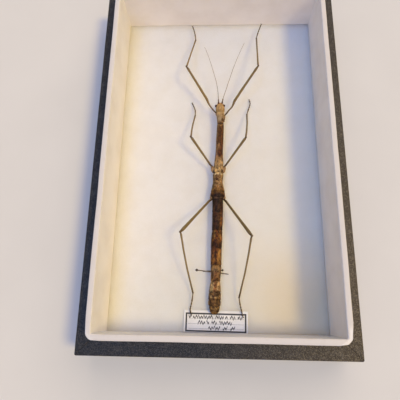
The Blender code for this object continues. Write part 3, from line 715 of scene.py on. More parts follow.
def skin(name):
    finish = Finish(name, **{"Specular IOR Level": 0.15})
    wander = finish.grain(2.4, detail=4.0, roughness=0.65) - 0.5
    sway = finish.grain(1.7, detail=4.0, roughness=0.65, shift=3.0) - 0.5
    along = finish.y + wander * 5.0
    swept = finish.node("ShaderNodeAttribute", {"attribute_name": "across"}, output="Fac")
    across = swept + sway * 0.75
    height = finish.node("ShaderNodeAttribute", {"attribute_name": "height"}, output="Fac")
    colour = ramp_along(finish, along, GROUND)
    colour = add_marks(finish, colour, along, across, MARKS)
    for place in trunk_joints:
        line = finish.between(finish.y + wander * 2.2, place - 0.35, place + 0.12, 0.25)
        colour = finish.mixed(line * 0.5, colour, paint(*JOINT_TONE))
    off_y, off_x = finish.y - RING_SPOT[0] + wander, (swept - RING_SPOT[1]) * 2.8
    gap = (off_y * off_y + off_x * off_x).math("SQRT")
    spot = ((gap, 1.5, 1.1, 0.95, (66, 38, 14)), (gap, 0.5, 0.2, 0.45, (136, 98, 56)))
    colour = finish.speckled(colour, spot)
    mottle = finish.grain(1.9, detail=4.0, roughness=0.66, stretch=(1, 1.5, 1), shift=12.0)
    behind = finish.rise(finish.y, 31.0, 26.0) * 0.5 + finish.rise(finish.y, 0.0, -34.0) * 0.2 + 0.25
    colour = finish.tinted(finish.rise(mottle, 0.48, 0.58) * behind, colour, SHADE_TINT)
    colour = finish.tinted(finish.rise(1 - mottle, 0.5, 0.62) * behind, colour, BLOOM_TINT)
    streak = finish.grain(0.8, detail=4.0, roughness=0.7, stretch=(1, 4, 1), shift=6.0)
    fleck = finish.grain(0.55, detail=4.0, roughness=0.75, shift=9.0)
    pit = finish.grain(1.3, detail=5.0, roughness=0.7, shift=1.5)
    speckles = (
        (streak, 0.5, 0.72, 0.38, (58, 35, 14)), (pit, 0.56, 0.7, 0.42, (52, 31, 12)),
        (fleck, 0.57, 0.7, 0.32, (198, 166, 124)), (-1 * height, 0.0, 0.5, 0.55, (118, 92, 62)),
    )
    colour = finish.speckled(colour, speckles)
    relief = finish.grain(0.3, detail=3.0, shift=2.0) + streak * 1.5 + pit
    finish.surface(colour, 0.36 + pit * 0.3, relief, 0.12)
    return finish

# %% The relief of the trunk
HEAD_JOINT, FORE_JOINT, MID_JOINT, HIND_JOINT = trunk_joints[:4]


def hill(value, middle, width):
    """A smooth hill of height 1."""
    return math.exp(-(((value - middle) / width) ** 2))


def joint_relief(y):
    """The hind rim of each ring stands up a little over the groove behind it."""
    relief = 0.0
    for joint in trunk_joints:
        if abs(y - joint) < 3:
            relief += 0.12 * hill(y, joint + 0.55, 0.45) - 0.26 * hill(y, joint - 0.1, 0.3)
            relief -= 0.1 * hill(y, joint - 0.95, 0.35)
    return relief


def back_relief(y, angle):
    """The keel along the back, and the fold between the back plate and the belly plate."""
    keel = 0.12 * hill(angle, math.pi / 2, 0.07)
    if y > HEAD_JOINT:
        keel = 0.0
    elif y > FORE_JOINT:
        keel = -0.14 * hill(angle, math.pi / 2, 0.09)
    side = min(abs(angle), math.pi - abs(angle))
    fold = -0.26 * hill(side, 0.34, 0.1) if angle < 0 else 0.0
    ridge = 0.1 * hill(side, 0.12, 0.08) if angle < 0 else 0.06 * hill(side, 0.0, 0.1)
    return keel + (fold + ridge) * (0.35 if y > HEAD_JOINT else 1.0)


def thorax_relief(y, across, angle):
    """Grooves of the first ring, grains on the second and dents on the third."""
    relief = 0.0
    if HEAD_JOINT > y > FORE_JOINT:
        relief -= 0.3 * hill(y, 37.6 + 0.5 * across * across, 0.4) * max(math.sin(angle), 0)
        relief += 0.12 * hill(y, 39.8, 0.5) + 0.1 * hill(y, 34.8, 1.4) * abs(across)
    if FORE_JOINT > y > MID_JOINT:
        grains = noise.voronoi(Vector((across * 3.2, y / 1.1, math.sin(angle) * 3)))[0][0]
        relief += 0.13 * max(0.45 - grains, 0) * 2
        relief += 0.16 * hill(abs(across), 0.62, 0.12) * hill(y, MID_JOINT + 3.2, 2.6)
    if MID_JOINT > y > HIND_JOINT:
        relief += 0.14 * hill(abs(across), 0.55, 0.13) - 0.12 * hill(y, -22.5, 0.5)
    return relief


def abdomen_relief(y, across, angle):
    """Lengthwise wrinkles, a raised line on each side of the keel, and sunken flanks."""
    wrinkle = noise.noise(Vector((across * 6.5, y / 5.5, math.sin(angle) * 2 + 4)))
    fine = noise.noise(Vector((across * 15, y / 2.2, 9)))
    line = 0.08 * hill(abs(across), 0.45 + 0.08 * noise.noise(Vector((y / 6, 0, 2))), 0.07)
    sunken = -0.14 * max(noise.noise(Vector((across * 1.6 + 7, y / 7, 1))), 0)
    return 0.1 * wrinkle + 0.05 * fine + line + sunken


def head_relief(y, across, angle):
    """The forked seam of the head, the groove behind its crown and the swollen cheeks."""
    if math.sin(angle) < 0:
        return 0.05 * noise.noise(Vector((across * 4, y, 3)))
    fork = abs(abs(across) - max(y - 45.4, 0) * 0.34)
    seam = -0.12 * hill(fork, 0, 0.05) * (1 if y > 42.6 else 0.3)
    crown = -0.2 * hill(y, 42.5 - 0.6 * across * across, 0.3) + 0.1 * hill(y, 43.4, 0.5)
    lobes = 0.12 * hill(abs(across), 0.45, 0.22) * hill(y, 44.2, 1.1)
    brow = 0.16 * hill(abs(across), 0.5, 0.12) * hill(y, 47.3, 0.7)
    return seam + crown + lobes + brow + 0.03 * noise.noise(Vector((across * 6, y * 1.5, 5)))


# %% Where the skin swells
# (y, millimetres added to the half width): the neck, the roots of the hind legs and the tail
WIDER = (
    (50.0, 0.0), (47.0, 0.05), (44.5, 0.3), (41.0, 0.6), (39.0, 0.55), (37.0, 0.4), (34.0, 0.0),
    (-19.5, 0.0), (-24.0, 0.35), (-28.0, 0.7), (-31.0, 1.0), (-33.0, 1.05), (-34.6, 0.35), (-36.0, 0.0),
    (-102.0, 0.0), (-108.0, 0.35), (-113.0, 0.25), (-117.5, 0.2), (-120.5, 0.1), (-122.0, 0.0),
)
wider_places, wider_sizes = zip(*reversed(WIDER))

# %% The skin of the trunk
TRUNK_SIDES = 56
TRUNK_STEP = 0.25
bm = bmesh.new()
across_layer = bm.verts.layers.float.new("across")
height_layer = bm.verts.layers.float.new("height")
places = np.linspace(trunk_ends[1], trunk_ends[0], int((trunk_ends[1] - trunk_ends[0]) / TRUNK_STEP))
rings = []
for y in places:
    x, z, half_width, above = flow(trunk_table, y)[:4]
    rings.append(ring_at(Vector((x, y, z)), -Y, half_width, above))
for vert in add_tube(bm, rings, TRUNK_SIDES):
    y = vert.co.y
    x, z, half_width, above, below = flow(trunk_table, y)
    across = (vert.co.x - x) / half_width
    angle = math.atan2((vert.co.z - z) / above, across)
    if angle < 0:
        vert.co.z = z + (vert.co.z - z) * below / above
    relief = joint_relief(y) + back_relief(y, angle)
    if y > HEAD_JOINT:
        relief += head_relief(y, across, angle)
    elif y > HIND_JOINT:
        relief += thorax_relief(y, across, angle)
    else:
        relief += abdomen_relief(y, across, angle)
    relief += 0.03 * noise.noise(vert.co / 0.8)
    vert.co.x += np.interp(y, wider_places, wider_sizes) * math.cos(angle)
    vert.co += Vector((math.cos(angle), 0, math.sin(angle))) * relief
    vert[across_layer] = across
    vert[height_layer] = (vert.co.z - z) / above
skin_finish = skin("insect_skin")
show(bm, "body_skin", skin_finish, "shell_brown", *TRUNK, sharp=70)

# %% [markdown]
# ## The colours of the legs
#
# A leg is olive brown with darker knees and feet and a pale hip. Each point of a leg
# remembers which part it belongs to and how far along it lies, and a ramp reads that.

# %% Finish of a leg
# The places: 0 to 1 the hip, 1 to 2 the thigh, 2 to 3 the shin and 3 to 4 the foot.
LEG_GROUND = (
    (4.0, (74, 56, 38)), (3.5, (100, 80, 53)), (3.06, (114, 92, 60)), (3.0, (76, 56, 36)),
    (2.9, (128, 108, 72)), (2.5, (146, 125, 84)), (2.1, (144, 122, 80)), (2.04, (136, 113, 76)),
    (2.0, (66, 46, 28)), (1.94, (140, 118, 80)), (1.8, (136, 114, 72)), (1.4, (144, 121, 76)),
    (1.12, (124, 103, 68)), (1.02, (64, 44, 28)), (0.9, (134, 104, 70)), (0.5, (170, 138, 100)),
    (0.0, (150, 118, 84)),
)


def leg_shell(name, darker, redder):
    finish = Finish(name, **{"Specular IOR Level": 0.18})
    place = finish.node("ShaderNodeAttribute", {"attribute_name": "place"}, output="Fac")
    blotch = finish.grain(2.6, detail=5.0, roughness=0.7)
    fleck = finish.grain(0.6, detail=4.0, roughness=0.75, shift=4.0)
    stripe = finish.grain(0.9, detail=3.0, shift=8.0)
    colour = ramp_along(finish, place + (blotch - 0.5) * 0.12, LEG_GROUND)
    colour = finish.mixed(redder, colour, paint(150, 100, 56))
    past_hip = finish.rise(place, 0.9, 1.1)
    colour = finish.mixed(past_hip * darker, colour, paint(52, 42, 28))
    if "fore" in name:
        colour = finish.mixed(finish.rise(place, 0.7, 0.5) * 0.8, colour, paint(76, 48, 22))
    thigh = finish.between(place, 1.05, 1.95, 0.1)
    colour = finish.mixed(thigh * (0.24 if "hind" in name else 0.04), colour, paint(66, 50, 24))
    speckles = (
        (blotch, 0.52, 0.72, 0.4, (78, 60, 38)), (1 - blotch, 0.55, 0.72, 0.3, (158, 130, 84)),
        (fleck, 0.58, 0.7, 0.4, (58, 42, 28)), (stripe, 0.6, 0.74, 0.3, (180, 152, 106)),
    )
    colour = finish.speckled(colour, speckles)
    finish.surface(colour, 0.38 + blotch * 0.25, finish.grain(0.35, detail=3.0, shift=1.0) + stripe, 0.07)
    return finish


LEG_TONES = {  # how much darker and how much redder than the ground
    "fore_left": (0.0, 0.08), "fore_right": (0.24, 0.0), "mid_left": (0.16, 0.0),
    "mid_right": (0.26, 0.0), "hind_left": (0.1, 0.0), "hind_right": (0.2, 0.0),
}
print("leg tones", LEG_TONES)

# %% Finish of the feelers and the eyes
feeler_finish = Finish("feeler_shell", **{"Specular IOR Level": 0.1})
whip = feeler_finish.rise(feeler_finish.y, 51.0, 54.5)
band = feeler_finish.grain(2.2, detail=3.0)
feeler_tone = feeler_finish.mixed(whip, paint(92, 60, 34), paint(146, 118, 86))
feeler_tone = feeler_finish.speckled(feeler_tone, ((band, 0.5, 0.65, 0.45, (84, 66, 50)),))
feeler_finish.surface(feeler_tone, 0.45 + band * 0.2, feeler_finish.grain(0.25, shift=3.0), 0.03)

eye_finish = Finish("eye_shell", **{"Specular IOR Level": 0.12, "Coat Weight": 0.04, "Coat Roughness": 0.2})
facets = eye_finish.cells(0.13)
eye_cloud = eye_finish.grain(0.9, detail=3.0)
eye_tone = eye_finish.mixed(eye_finish.rise(eye_cloud, 0.4, 0.65), paint(60, 36, 20), paint(104, 66, 38))
eye_finish.surface(eye_tone, 0.22 + facets * 0.3, 1 - facets, 0.03)
print("feeler and eye finishes made")

# %% [markdown]
# ## Legs
#
# Each leg is a hip, a thigh with four keels, a knee, a shin and a foot of five short joints
# with pads, which ends in two claws. The middle line and the thickness of each measured
# solid are read from its slices. A tube with four soft corners follows the line, and the
# feet, knees and claws are drawn from a few rings each.

# %% Reading a limb from its solid
LIMB_SHARES = (0.06, 0.12, 0.2, 0.3, 0.4, 0.5, 0.6, 0.7, 0.8, 0.88, 0.94)


def limb_of(node, near):
    """A limb's path, out to both of its ends, and rows (share, radius) for its thickness."""
    cuts = slices(node, long_way(node), LIMB_SHARES)
    centres = [Vector(points.mean(axis=0)) for points in cuts]
    radii = [float(np.median(np.linalg.norm(points - points.mean(axis=0), axis=1))) for points in cuts]
    if (centres[0] - near).length > (centres[-1] - near).length:
        centres, radii = centres[::-1], radii[::-1]
    start = centres[0] + (centres[0] - centres[1])
    end = centres[-1] + (centres[-1] - centres[-2])
    path = [start, *centres, end]
    shares = [0.0, *LIMB_SHARES, 1.0]
    return path, list(zip(shares, [radii[0], *radii, radii[-1]]))


def keeled(depth):
    """A circle with four soft corners."""
    return lambda angle: 1 - depth / 2 + depth * abs(math.cos(2 * angle)) ** 3


# %% Feet
FOOT_ENDS = (0.4, 0.56, 0.68, 0.78, 0.94)  # where each of the five joints ends, as a share of the foot


def foot_radii(radius):
    """The rows (share, radius) of a foot, whose joints each swell towards their far ends."""
    rows = [(0.0, radius * 0.8)]
    start = 0.0
    for index, end in enumerate(FOOT_ENDS):
        if index:
            rows.append((start + 0.012, radius * 0.72))
        rows.append(((start * 2 + end) / 3, radius * 0.8))
        rows.append((end - 0.022, radius * 1.12))
        rows.append((end - 0.004, radius * 0.8))
        start = end
    return rows + [(1.0, radius * 0.55)]


def add_claws(bm, tip, way, size):
    """Two curved claws and the soft pad between them."""
    side = way.cross(Z).normalized()
    for hand in (-1, 1):
        hook = [
            tip,
            tip + way * size * 0.5 + side * hand * size * 0.45,
            tip + way * size * 1.0 + side * hand * size * 0.8 - Z * size * 0.05,
            tip + way * size * 1.3 + side * hand * size * 0.85 - Z * size * 0.5,
        ]
        add_stalk(bm, hook, 0.12, [(0.0, 0.2), (0.5, 0.14), (1.0, 0.03)], 6)
    add_ball(bm, tip + way * size * 0.45, (0.26, 0.3, 0.42), facing((way - Z * 0.3).normalized()), 10)


def add_foot(bm, path, radius):
    """A foot of five joints, with a pad under each of the first four, and its claws."""
    smooth = smooth_path(path, 0.16)
    add_tube(bm, limb_rings(smooth, foot_radii(radius), height=0.92), 12)
    length = sum((b - a).length for a, b in zip(smooth, smooth[1:]))
    for end in FOOT_ENDS[:-1]:
        index = int((end - 0.03) * (len(smooth) - 1))
        way = (smooth[index + 1] - smooth[index]).normalized()
        size = (radius * 0.72, radius * 0.5, min(length * 0.028, 0.75))
        add_ball(bm, smooth[index] - Z * radius * 0.62, size, facing(way), 10)
    add_claws(bm, smooth[-1], (smooth[-1] - smooth[-4]).normalized(), 0.9)


# %% Six legs
LEG_NAMES = [f"{pair}_{side}" for pair in ("fore", "mid", "hind") for side in ("left", "right")]
# How far the root of a slim fore hip slides under its ring
HIP_TUCKS = {"fore_left": (1.15, 0.2, 0), "fore_right": (-0.6, 1.2, 0)}
SLIM = 0.82  # how thick a slim hip is for its solid
LIMB_SIDES = 16
COXA_KEELS, LIMB_KEELS = 0.05, 0.14  # how deep the four keels of a hip and of a thigh or shin are
KNEE_TONE, HIP_TONE = 1.97, 1.02  # the places on the colour ramp that the balls in the joints take


def meet(first, second):
    """The place where one limb's end meets the next one's start."""
    return (first[-1] + second[0]) / 2


def mark_places(bm, verts, first, start, end):
    """Each point remembers how far along its leg it lies."""
    layer = bm.verts.layers.float.get("place") or bm.verts.layers.float.new("place")
    span = end - start
    for vert in verts:
        share = (vert.co - start).dot(span) / span.length_squared
        vert[layer] = first + min(max(share, 0.0), 1.0)


def add_limb(bm, path, radii, step, depth, place):
    """One part of a leg, as a keeled and slightly uneven tube."""
    verts = add_tube(bm, limb_rings(smooth_path(path, step), radii), LIMB_SIDES, keeled(depth))
    for vert in verts:
        vert.co += vert.co.normalized() * 0.035 * noise.noise(vert.co / 1.1)
    mark_places(bm, verts, place, path[0], path[-1])


for name in LEG_NAMES:
    nodes = [f"{name}_{part}" for part in ("coxa", "femur", "tibia", "tarsus")]
    low, high = box_of(nodes[0])
    body_side = Vector((0.0, (low.y + high.y) / 2, (low.z + high.z) / 2))
    coxa, coxa_radii = limb_of(nodes[0], body_side)
    thigh, thigh_radii = limb_of(nodes[1], coxa[-1])
    shin, shin_radii = limb_of(nodes[2], thigh[-1])
    foot, foot_rows = limb_of(nodes[3], shin[-1])
    hip, knee, ankle = meet(coxa, thigh), meet(thigh, shin), meet(shin, foot)
    tuck = Vector(HIP_TUCKS.get(name, (0, 0, 0)))
    coxa = [point + tuck * (1 - index / (len(coxa) - 1)) for index, point in enumerate(coxa)]
    coxa[-1] = thigh[0] = hip
    thigh[-1] = shin[0] = knee
    shin[-1] = foot[0] = ankle
    thick = flow(thigh_radii, 0.9)
    thin = flow(shin_radii, 0.5)
    bm = bmesh.new()
    bm.verts.layers.float.new("place")
    slim = SLIM if name in HIP_TUCKS else 1.0
    add_limb(bm, coxa, [(share, radius * slim) for share, radius in coxa_radii], 0.4, COXA_KEELS, 0.0)
    thigh_radii[0] = (0.0, thigh_radii[1][1] * 0.9)
    thigh_radii[-1] = (1.0, thick * 0.6)
    add_limb(bm, thigh, thigh_radii, 0.5, LIMB_KEELS, 1.0)
    shin_radii[0] = (0.0, thin * 0.85)
    add_limb(bm, shin, shin_radii, 0.5, LIMB_KEELS, 2.0)
    count = len(bm.verts)
    add_foot(bm, foot, foot_rows[2][1] * 0.95)
    bm.verts.ensure_lookup_table()
    mark_places(bm, bm.verts[count:], 3.0, foot[0], foot[-1])
    balls = (
        (knee, thick * 0.86, thigh[-1] - thigh[-2], KNEE_TONE),
        (hip, thick * 0.8, thigh[1] - thigh[0], HIP_TONE),
    )
    for place, radius, way, tone in balls:
        ball = add_ball(bm, place, (radius * 0.92, radius, radius * 1.15), facing(way), LIMB_SIDES)
        mark_places(bm, ball, tone, place, place + way * 1000)
    finish = leg_shell(f"leg_shell_{name}", *LEG_TONES[name])
    show(bm, f"leg_{name}", finish, "leg_olive", *nodes, sharp=60)

# %% [markdown]
# ## Feelers, eyes and mouth
#
# A feeler has a thick flat base joint, a short second joint and then a whip of some seventy
# little rings. Each ring widens towards its end, so a table of radii with a saw-tooth gives
# the whole whip in one tube.

# %% Feelers
WHIP_START = 0.125
WHIP_RINGS = 68
BASE_JOINTS = [
    (0.0, 0.45), (0.02, 0.64), (0.045, 0.74), (0.082, 0.66), (0.092, 0.42), (0.096, 0.36),
    (0.102, 0.5), (0.12, 0.46), (0.125, 0.3),
]


def whip_place(index):
    """Where a ring of the whip begins. The rings grow longer towards the tip."""
    return WHIP_START + (1 - WHIP_START) * (index / WHIP_RINGS) ** 1.25


def feeler_radii():
    """The rows (share, radius) of a whole feeler."""
    rows = list(BASE_JOINTS)
    for index in range(WHIP_RINGS):
        start, end = whip_place(index), whip_place(index + 1)
        radius = 0.25 - 0.12 * index / WHIP_RINGS
        rows.append((start + (end - start) * 0.12, radius * 0.8))
        rows.append((start + (end - start) * 0.85, radius * 1.08))
    return rows + [(1.0, 0.06)]


for side in ("left", "right"):
    node = f"antenna_{side}"
    low, high = box_of(node)
    socket = Vector(((low.x + high.x) / 2, low.y, low.z))
    line = middle_line(node, socket, (0.02, 0.06, 0.1, 0.2, 0.35, 0.5, 0.65, 0.8, 0.9, 0.98))
    line = [line[0] * 2 - line[1], *line, line[-1] * 2 - line[-2]]
    bm = bmesh.new()
    add_stalk(bm, line, 0.14, feeler_radii(), 10)
    rim_way = (line[2] - line[0]).normalized()
    add_ball(bm, line[1] - rim_way * 0.2, (0.74, 0.74, 0.3), facing(rim_way), 18)
    show(bm, f"feeler_{side}", feeler_finish, "feeler_brown", node)

# %% Eyes
EYE_SHIFT = {"left": (-0.4, -0.3, 0.0), "right": (0.0, 0.0, 0.0)}  # the dried head is a little askew
for side in ("left", "right"):
    low, high = box_of(f"eye_{side}")
    bm = bmesh.new()
    centre = (low + high) / 2 + Vector(EYE_SHIFT[side])
    add_ball(bm, centre, (high - low) / 2, Matrix.Rotation(math.pi / 2, 4, "Y"), 40)
    show(bm, f"eyeball_{side}", eye_finish, "eye_dark", f"eye_{side}")

# %% Mouth
low, high = box_of("mouthparts")
mid_x = (low.x + high.x) / 2
# A palp is a feeler of four joints beside the mouth: (across, along, height above the lowest point)
PALP = ((1.0, 47.2, 1.0), (1.7, 48.0, 0.7), (1.8, 49.0, 0.5), (1.4, high.y, 0.45))
PALP_RADII = [
    (0, 0.22), (0.2, 0.26), (0.24, 0.2), (0.45, 0.27), (0.5, 0.2),
    (0.72, 0.28), (0.77, 0.19), (0.9, 0.26), (1, 0.1),
]
LIP = ((0.45, 47.2, 0.6), (0.6, 48.3, 0.35), (0.5, 49.3, 0.4))
LIP_RADII = [(0, 0.2), (0.3, 0.22), (0.36, 0.15), (0.8, 0.22), (1, 0.08)]


def by_mouth(across, along, up):
    return Vector((mid_x + across, along, low.z + up))


bm = bmesh.new()
add_ball(bm, by_mouth(0, 48.6, 1.7), (1.25, 0.75, 0.95), Matrix.Rotation(-0.5, 4, "X"), 20)
add_ball(bm, by_mouth(0, 49.05, 1.15), (0.95, 0.42, 0.7), Matrix.Rotation(-0.4, 4, "X"), 20)
for hand in (-1, 1):
    jaw_turn = Matrix.Rotation(hand * 0.4, 4, "Z")
    add_ball(bm, by_mouth(hand * 1.05, 47.9, 1.2), (0.75, 1.0, 0.8), jaw_turn, 18)
    for line, radii in ((PALP, PALP_RADII), (LIP, LIP_RADII)):
        points = [by_mouth(hand * across, along, up) for across, along, up in line]
        add_stalk(bm, points, 0.12, radii, 10)
show(bm, "mouth", skin_finish, "shell_tan", "mouthparts")

# %% [markdown]
# ## Wing pads, the plate under the tail and the tail lobes
#
# This insect can't fly: its wings are two little scales on the back of the third ring.
# Each is a disc whose rings are inset and lifted, and its veins are raised points. The
# egg plate under the tail is a boat-shaped half tube, and two leaf-shaped lobes end the body.

# %% Wing pads
shell_scale = Finish("wing_scale", **{"Specular IOR Level": 0.15})
scale_cloud = shell_scale.grain(1.0, detail=4.0, roughness=0.7)
cloudy = shell_scale.rise(scale_cloud, 0.4, 0.65)
scale_tone = shell_scale.mixed(cloudy, paint(96, 66, 38), paint(150, 116, 76))
scale_tone = shell_scale.speckled(scale_tone, ((shell_scale.y, -17.2, -18.6, 0.6, (70, 36, 20)),))
shell_scale.surface(scale_tone, 0.4 + scale_cloud * 0.25, shell_scale.grain(0.3, detail=3.0), 0.05)
WING_SINK, WING_TILT = 0.2, math.radians(20)
WING_RINGS = ((0.16, 0.1), (0.2, 0.08), (0.25, 0.05), (0.3, 0.02))  # (inset, rise) towards the middle

for side, hand in (("left", -1), ("right", 1)):
    low, high = box_of(f"wing_{side}")
    half = (high - low) / 2
    bm = bmesh.new()
    disc = bmesh.ops.create_circle(bm, cap_ends=True, segments=36, radius=1.0)["verts"]
    bmesh.ops.translate(bm, vec=(0, 0, -WING_SINK), verts=disc)
    raised(bm, bm.faces[:], 0.14)
    for inset, rise in WING_RINGS:
        top = [max(bm.faces, key=lambda face: round(face.calc_center_median().z, 4))]
        bmesh.ops.inset_region(bm, faces=top, thickness=inset, use_even_offset=True)
        bmesh.ops.translate(bm, vec=(0, 0, rise), verts=top[0].verts)
    bmesh.ops.triangulate(bm, faces=[max(bm.faces, key=lambda face: len(face.verts))])
    bmesh.ops.subdivide_edges(bm, edges=bm.edges[:], cuts=1, use_grid_fill=True, smooth=0.5)
    for vert in bm.verts:
        around = math.atan2(vert.co.x, vert.co.y + 1.1)
        vein = math.cos(around * 11) * 0.035 if vert.co.z > 0 else 0.0
        point = 1.0 - 0.28 * max(-vert.co.y, 0) ** 2
        x, y, z = vert.co
        vert.co = Vector((x * half.x * point * 0.98, y * half.y * 0.98, z * 0.9 + vein))
    bmesh.ops.rotate(bm, matrix=Matrix.Rotation(hand * WING_TILT, 3, "Y"), verts=bm.verts)
    bmesh.ops.translate(bm, vec=(low + high) / 2, verts=bm.verts)
    show(bm, f"wing_pad_{side}", shell_scale, "shell_olive", f"wing_{side}", sharp=50)

# %% The plate under the tail
low, high = box_of("operculum")
plate_rows = []
for points in slices("operculum", Y, (0.02, 0.15, 0.35, 0.6, 0.8, 0.92, 0.98)):
    (left, y, bottom), (right, _, top) = points.min(axis=0), points.max(axis=0)
    plate_rows.append((y, (left + right) / 2, top, right - left, top - bottom))
bm = bmesh.new()
place_layer = bm.verts.layers.float.new("across")
plate_rings = []
for y in np.linspace(high.y, low.y, 60):
    x, top, width, depth = flow(plate_rows, y)
    plate_rings.append(ring_at(Vector((x, y, top)), -Y, max(width / 2, 0.2), max(depth, 0.15)))
for vert in add_tube(bm, plate_rings, 28):
    x, top, width, depth = flow(plate_rows, vert.co.y)
    vert.co.z = top + (vert.co.z - top) * (0.12 if vert.co.z > top else 1.0)
    share = (vert.co.x - x) / max(width / 2, 0.2)
    if vert.co.z < top:
        vert.co.z += 0.05 * noise.noise(vert.co / 1.6) - 0.12 * hill(share, 0, 0.08)
    vert[place_layer] = share * 0.8
show(bm, "egg_plate", skin_finish, "shell_olive", "operculum", sharp=60)

# %% Tail lobes
low, high = box_of("cerci")
tail_x = (low.x + high.x) / 2
tail_z = (low.z + high.z) / 2
half_x = (high.x - low.x) / 2
bm = bmesh.new()
place_layer = bm.verts.layers.float.new("across")
end_plate = [Vector((tail_x, y, tail_z)) for y in (high.y + 1.6, high.y - 0.3, low.y + 0.35)]
end_rows = [(0.0, 3.5), (0.35, 3.55), (0.6, 3.1), (0.8, 2.3), (0.93, 1.4), (1.0, 0.4)]
add_stalk(bm, end_plate, 0.12, end_rows, 28, height=0.42)
for hand in (-1, 1):
    lobe = [
        Vector((tail_x + hand * half_x * 0.62, high.y + 0.3, tail_z - 0.15)),
        Vector((tail_x + hand * half_x * 0.62, high.y - 0.9, tail_z - 0.1)),
        Vector((tail_x + hand * half_x * 0.36, low.y + 0.15, tail_z - 0.25)),
    ]
    lobe_rows = [(0.0, 0.55), (0.4, 0.62), (0.8, 0.45), (1.0, 0.1)]
    add_stalk(bm, lobe, 0.12, lobe_rows, 18, height=0.7)
for vert in bm.verts:
    vert.co += Vector((0, 0, 0.06 * noise.noise(vert.co / 0.6)))
    vert[place_layer] = (vert.co.x - tail_x) / half_x
show(bm, "tail_lobes", skin_finish, "shell_brown", "cerci", sharp=60)

# %% [markdown]
# ## The data card and the pins
#
# The card carries a printed frame with dotted lines to write on. The pen marks are only
# wavy strokes that say nothing. Two ball-headed pins cross under the abdomen and hold it up.

# %% The data card
CARD_TURN = math.radians(-0.6)
card_low, card_high = box_of("label_card")
card_middle = (card_low + card_high) / 2
CARD_HALF_X, CARD_HALF_Y, CARD_THICKNESS = 23.95, 7.9, 0.32
FRAME_HALF_X, FRAME_HALF_Y, FRAME_LINE = 22.2, 6.25, 0.6
RULES, RULE_SHARE = (2.9, -0.9, -4.4), 0.93  # heights of the dotted lines, how much of the width they fill
# (height, start, end, shift of the waves) of each line of strokes
WRITING = ((3.8, -20.5, 19.5, 0.0), (-0.1, -13.5, 12.0, 5.0), (-3.9, -5.5, 15.5, 11.0))

card = Finish("white_card", **{"Specular IOR Level": 0.35})
centred = card.node(
    "ShaderNodeMapping",
    sockets={"Vector": card.scaled(card.where, 1 / MM), "Location": (-card_middle.x, -card_middle.y, 0.0)},
)
about_z = {"rotation_type": "Z_AXIS"}
turned = card.node("ShaderNodeVectorRotate", about_z, {"Vector": centred, "Angle": -CARD_TURN})
split = card.node("ShaderNodeSeparateXYZ", sockets={0: turned}).socket.node.outputs
right, up = Wire(card, split[0]), Wire(card, split[1]) + 0.75  # the frame is printed a little low


def framed(half_x, half_y, line):
    """A rectangle drawn with a line this wide."""
    off_x = right.math("ABSOLUTE") - half_x
    off_y = up.math("ABSOLUTE") - half_y
    return card.rise(off_x.math("MAXIMUM", off_y).math("ABSOLUTE"), line + 0.08, line - 0.08)


cloud = card.grain(9.0, detail=4.0)
tone = card.mixed(card.rise(cloud, 0.35, 0.7), paint(240, 236, 232), paint(232, 228, 224))
dots = right.math("MODULO", 0.9).math("ABSOLUTE")
inside = card.between(right, -FRAME_HALF_X * RULE_SHARE, FRAME_HALF_X * RULE_SHARE, 0.1)
for height in RULES:
    rule = card.between(up, height - 0.24, height + 0.02, 0.1) * card.rise(dots, 0.25, 0.45) * inside
    tone = card.mixed(rule * 0.9, tone, paint(80, 78, 84))
for height, start, end, shift in WRITING:
    loops = (right * 3.3 + shift).math("SINE") * 0.72 + (right * 1.25 + shift * 2).math("SINE") * 0.4
    tall = ((right * 0.83 + shift).math("SINE")).math("POWER", 4.0) * (right * 6.1).math("SINE") * 0.55
    words = {"W": right * 0.36 + shift, "Scale": 1.0, "Detail": 0.0}
    gap = card.rise(card.node("ShaderNodeTexNoise", {"noise_dimensions": "1D"}, words), 0.36, 0.42)
    stroke = card.rise((up - height - loops - tall).math("ABSOLUTE"), 1.0, 0.5)
    hatch = card.rise(card.grain(0.6, detail=2.0, shift=shift), 0.3, 0.45)
    ink = stroke * hatch * gap * card.between(right, start, end, 0.1)
    tone = card.mixed(ink * 0.92, tone, paint(36, 32, 38))
tone = card.mixed(framed(FRAME_HALF_X, FRAME_HALF_Y, FRAME_LINE) * 0.95, tone, paint(34, 32, 36))
card.surface(tone, 0.55 + cloud * 0.15, card.grain(0.4, detail=3.0), 0.02)

bm = bmesh.new()
bmesh.ops.create_grid(bm, x_segments=48, y_segments=16, size=1.0)
bmesh.ops.scale(bm, vec=(CARD_HALF_X, CARD_HALF_Y, 1), verts=bm.verts)
raised(bm, bm.faces[:], CARD_THICKNESS)
for vert in bm.verts:
    curl = (abs(vert.co.x) / CARD_HALF_X) ** 3 * 0.12 + 0.04 * noise.noise(vert.co / 9.0)
    vert.co.z += min(curl, 0.14)
bmesh.ops.rotate(bm, matrix=Matrix.Rotation(CARD_TURN, 3, "Z"), verts=bm.verts)
bmesh.ops.translate(bm, vec=(card_middle.x, card_middle.y, card_low.z + 0.02), verts=bm.verts)
show(bm, "data_card", card, "card", "label_card")

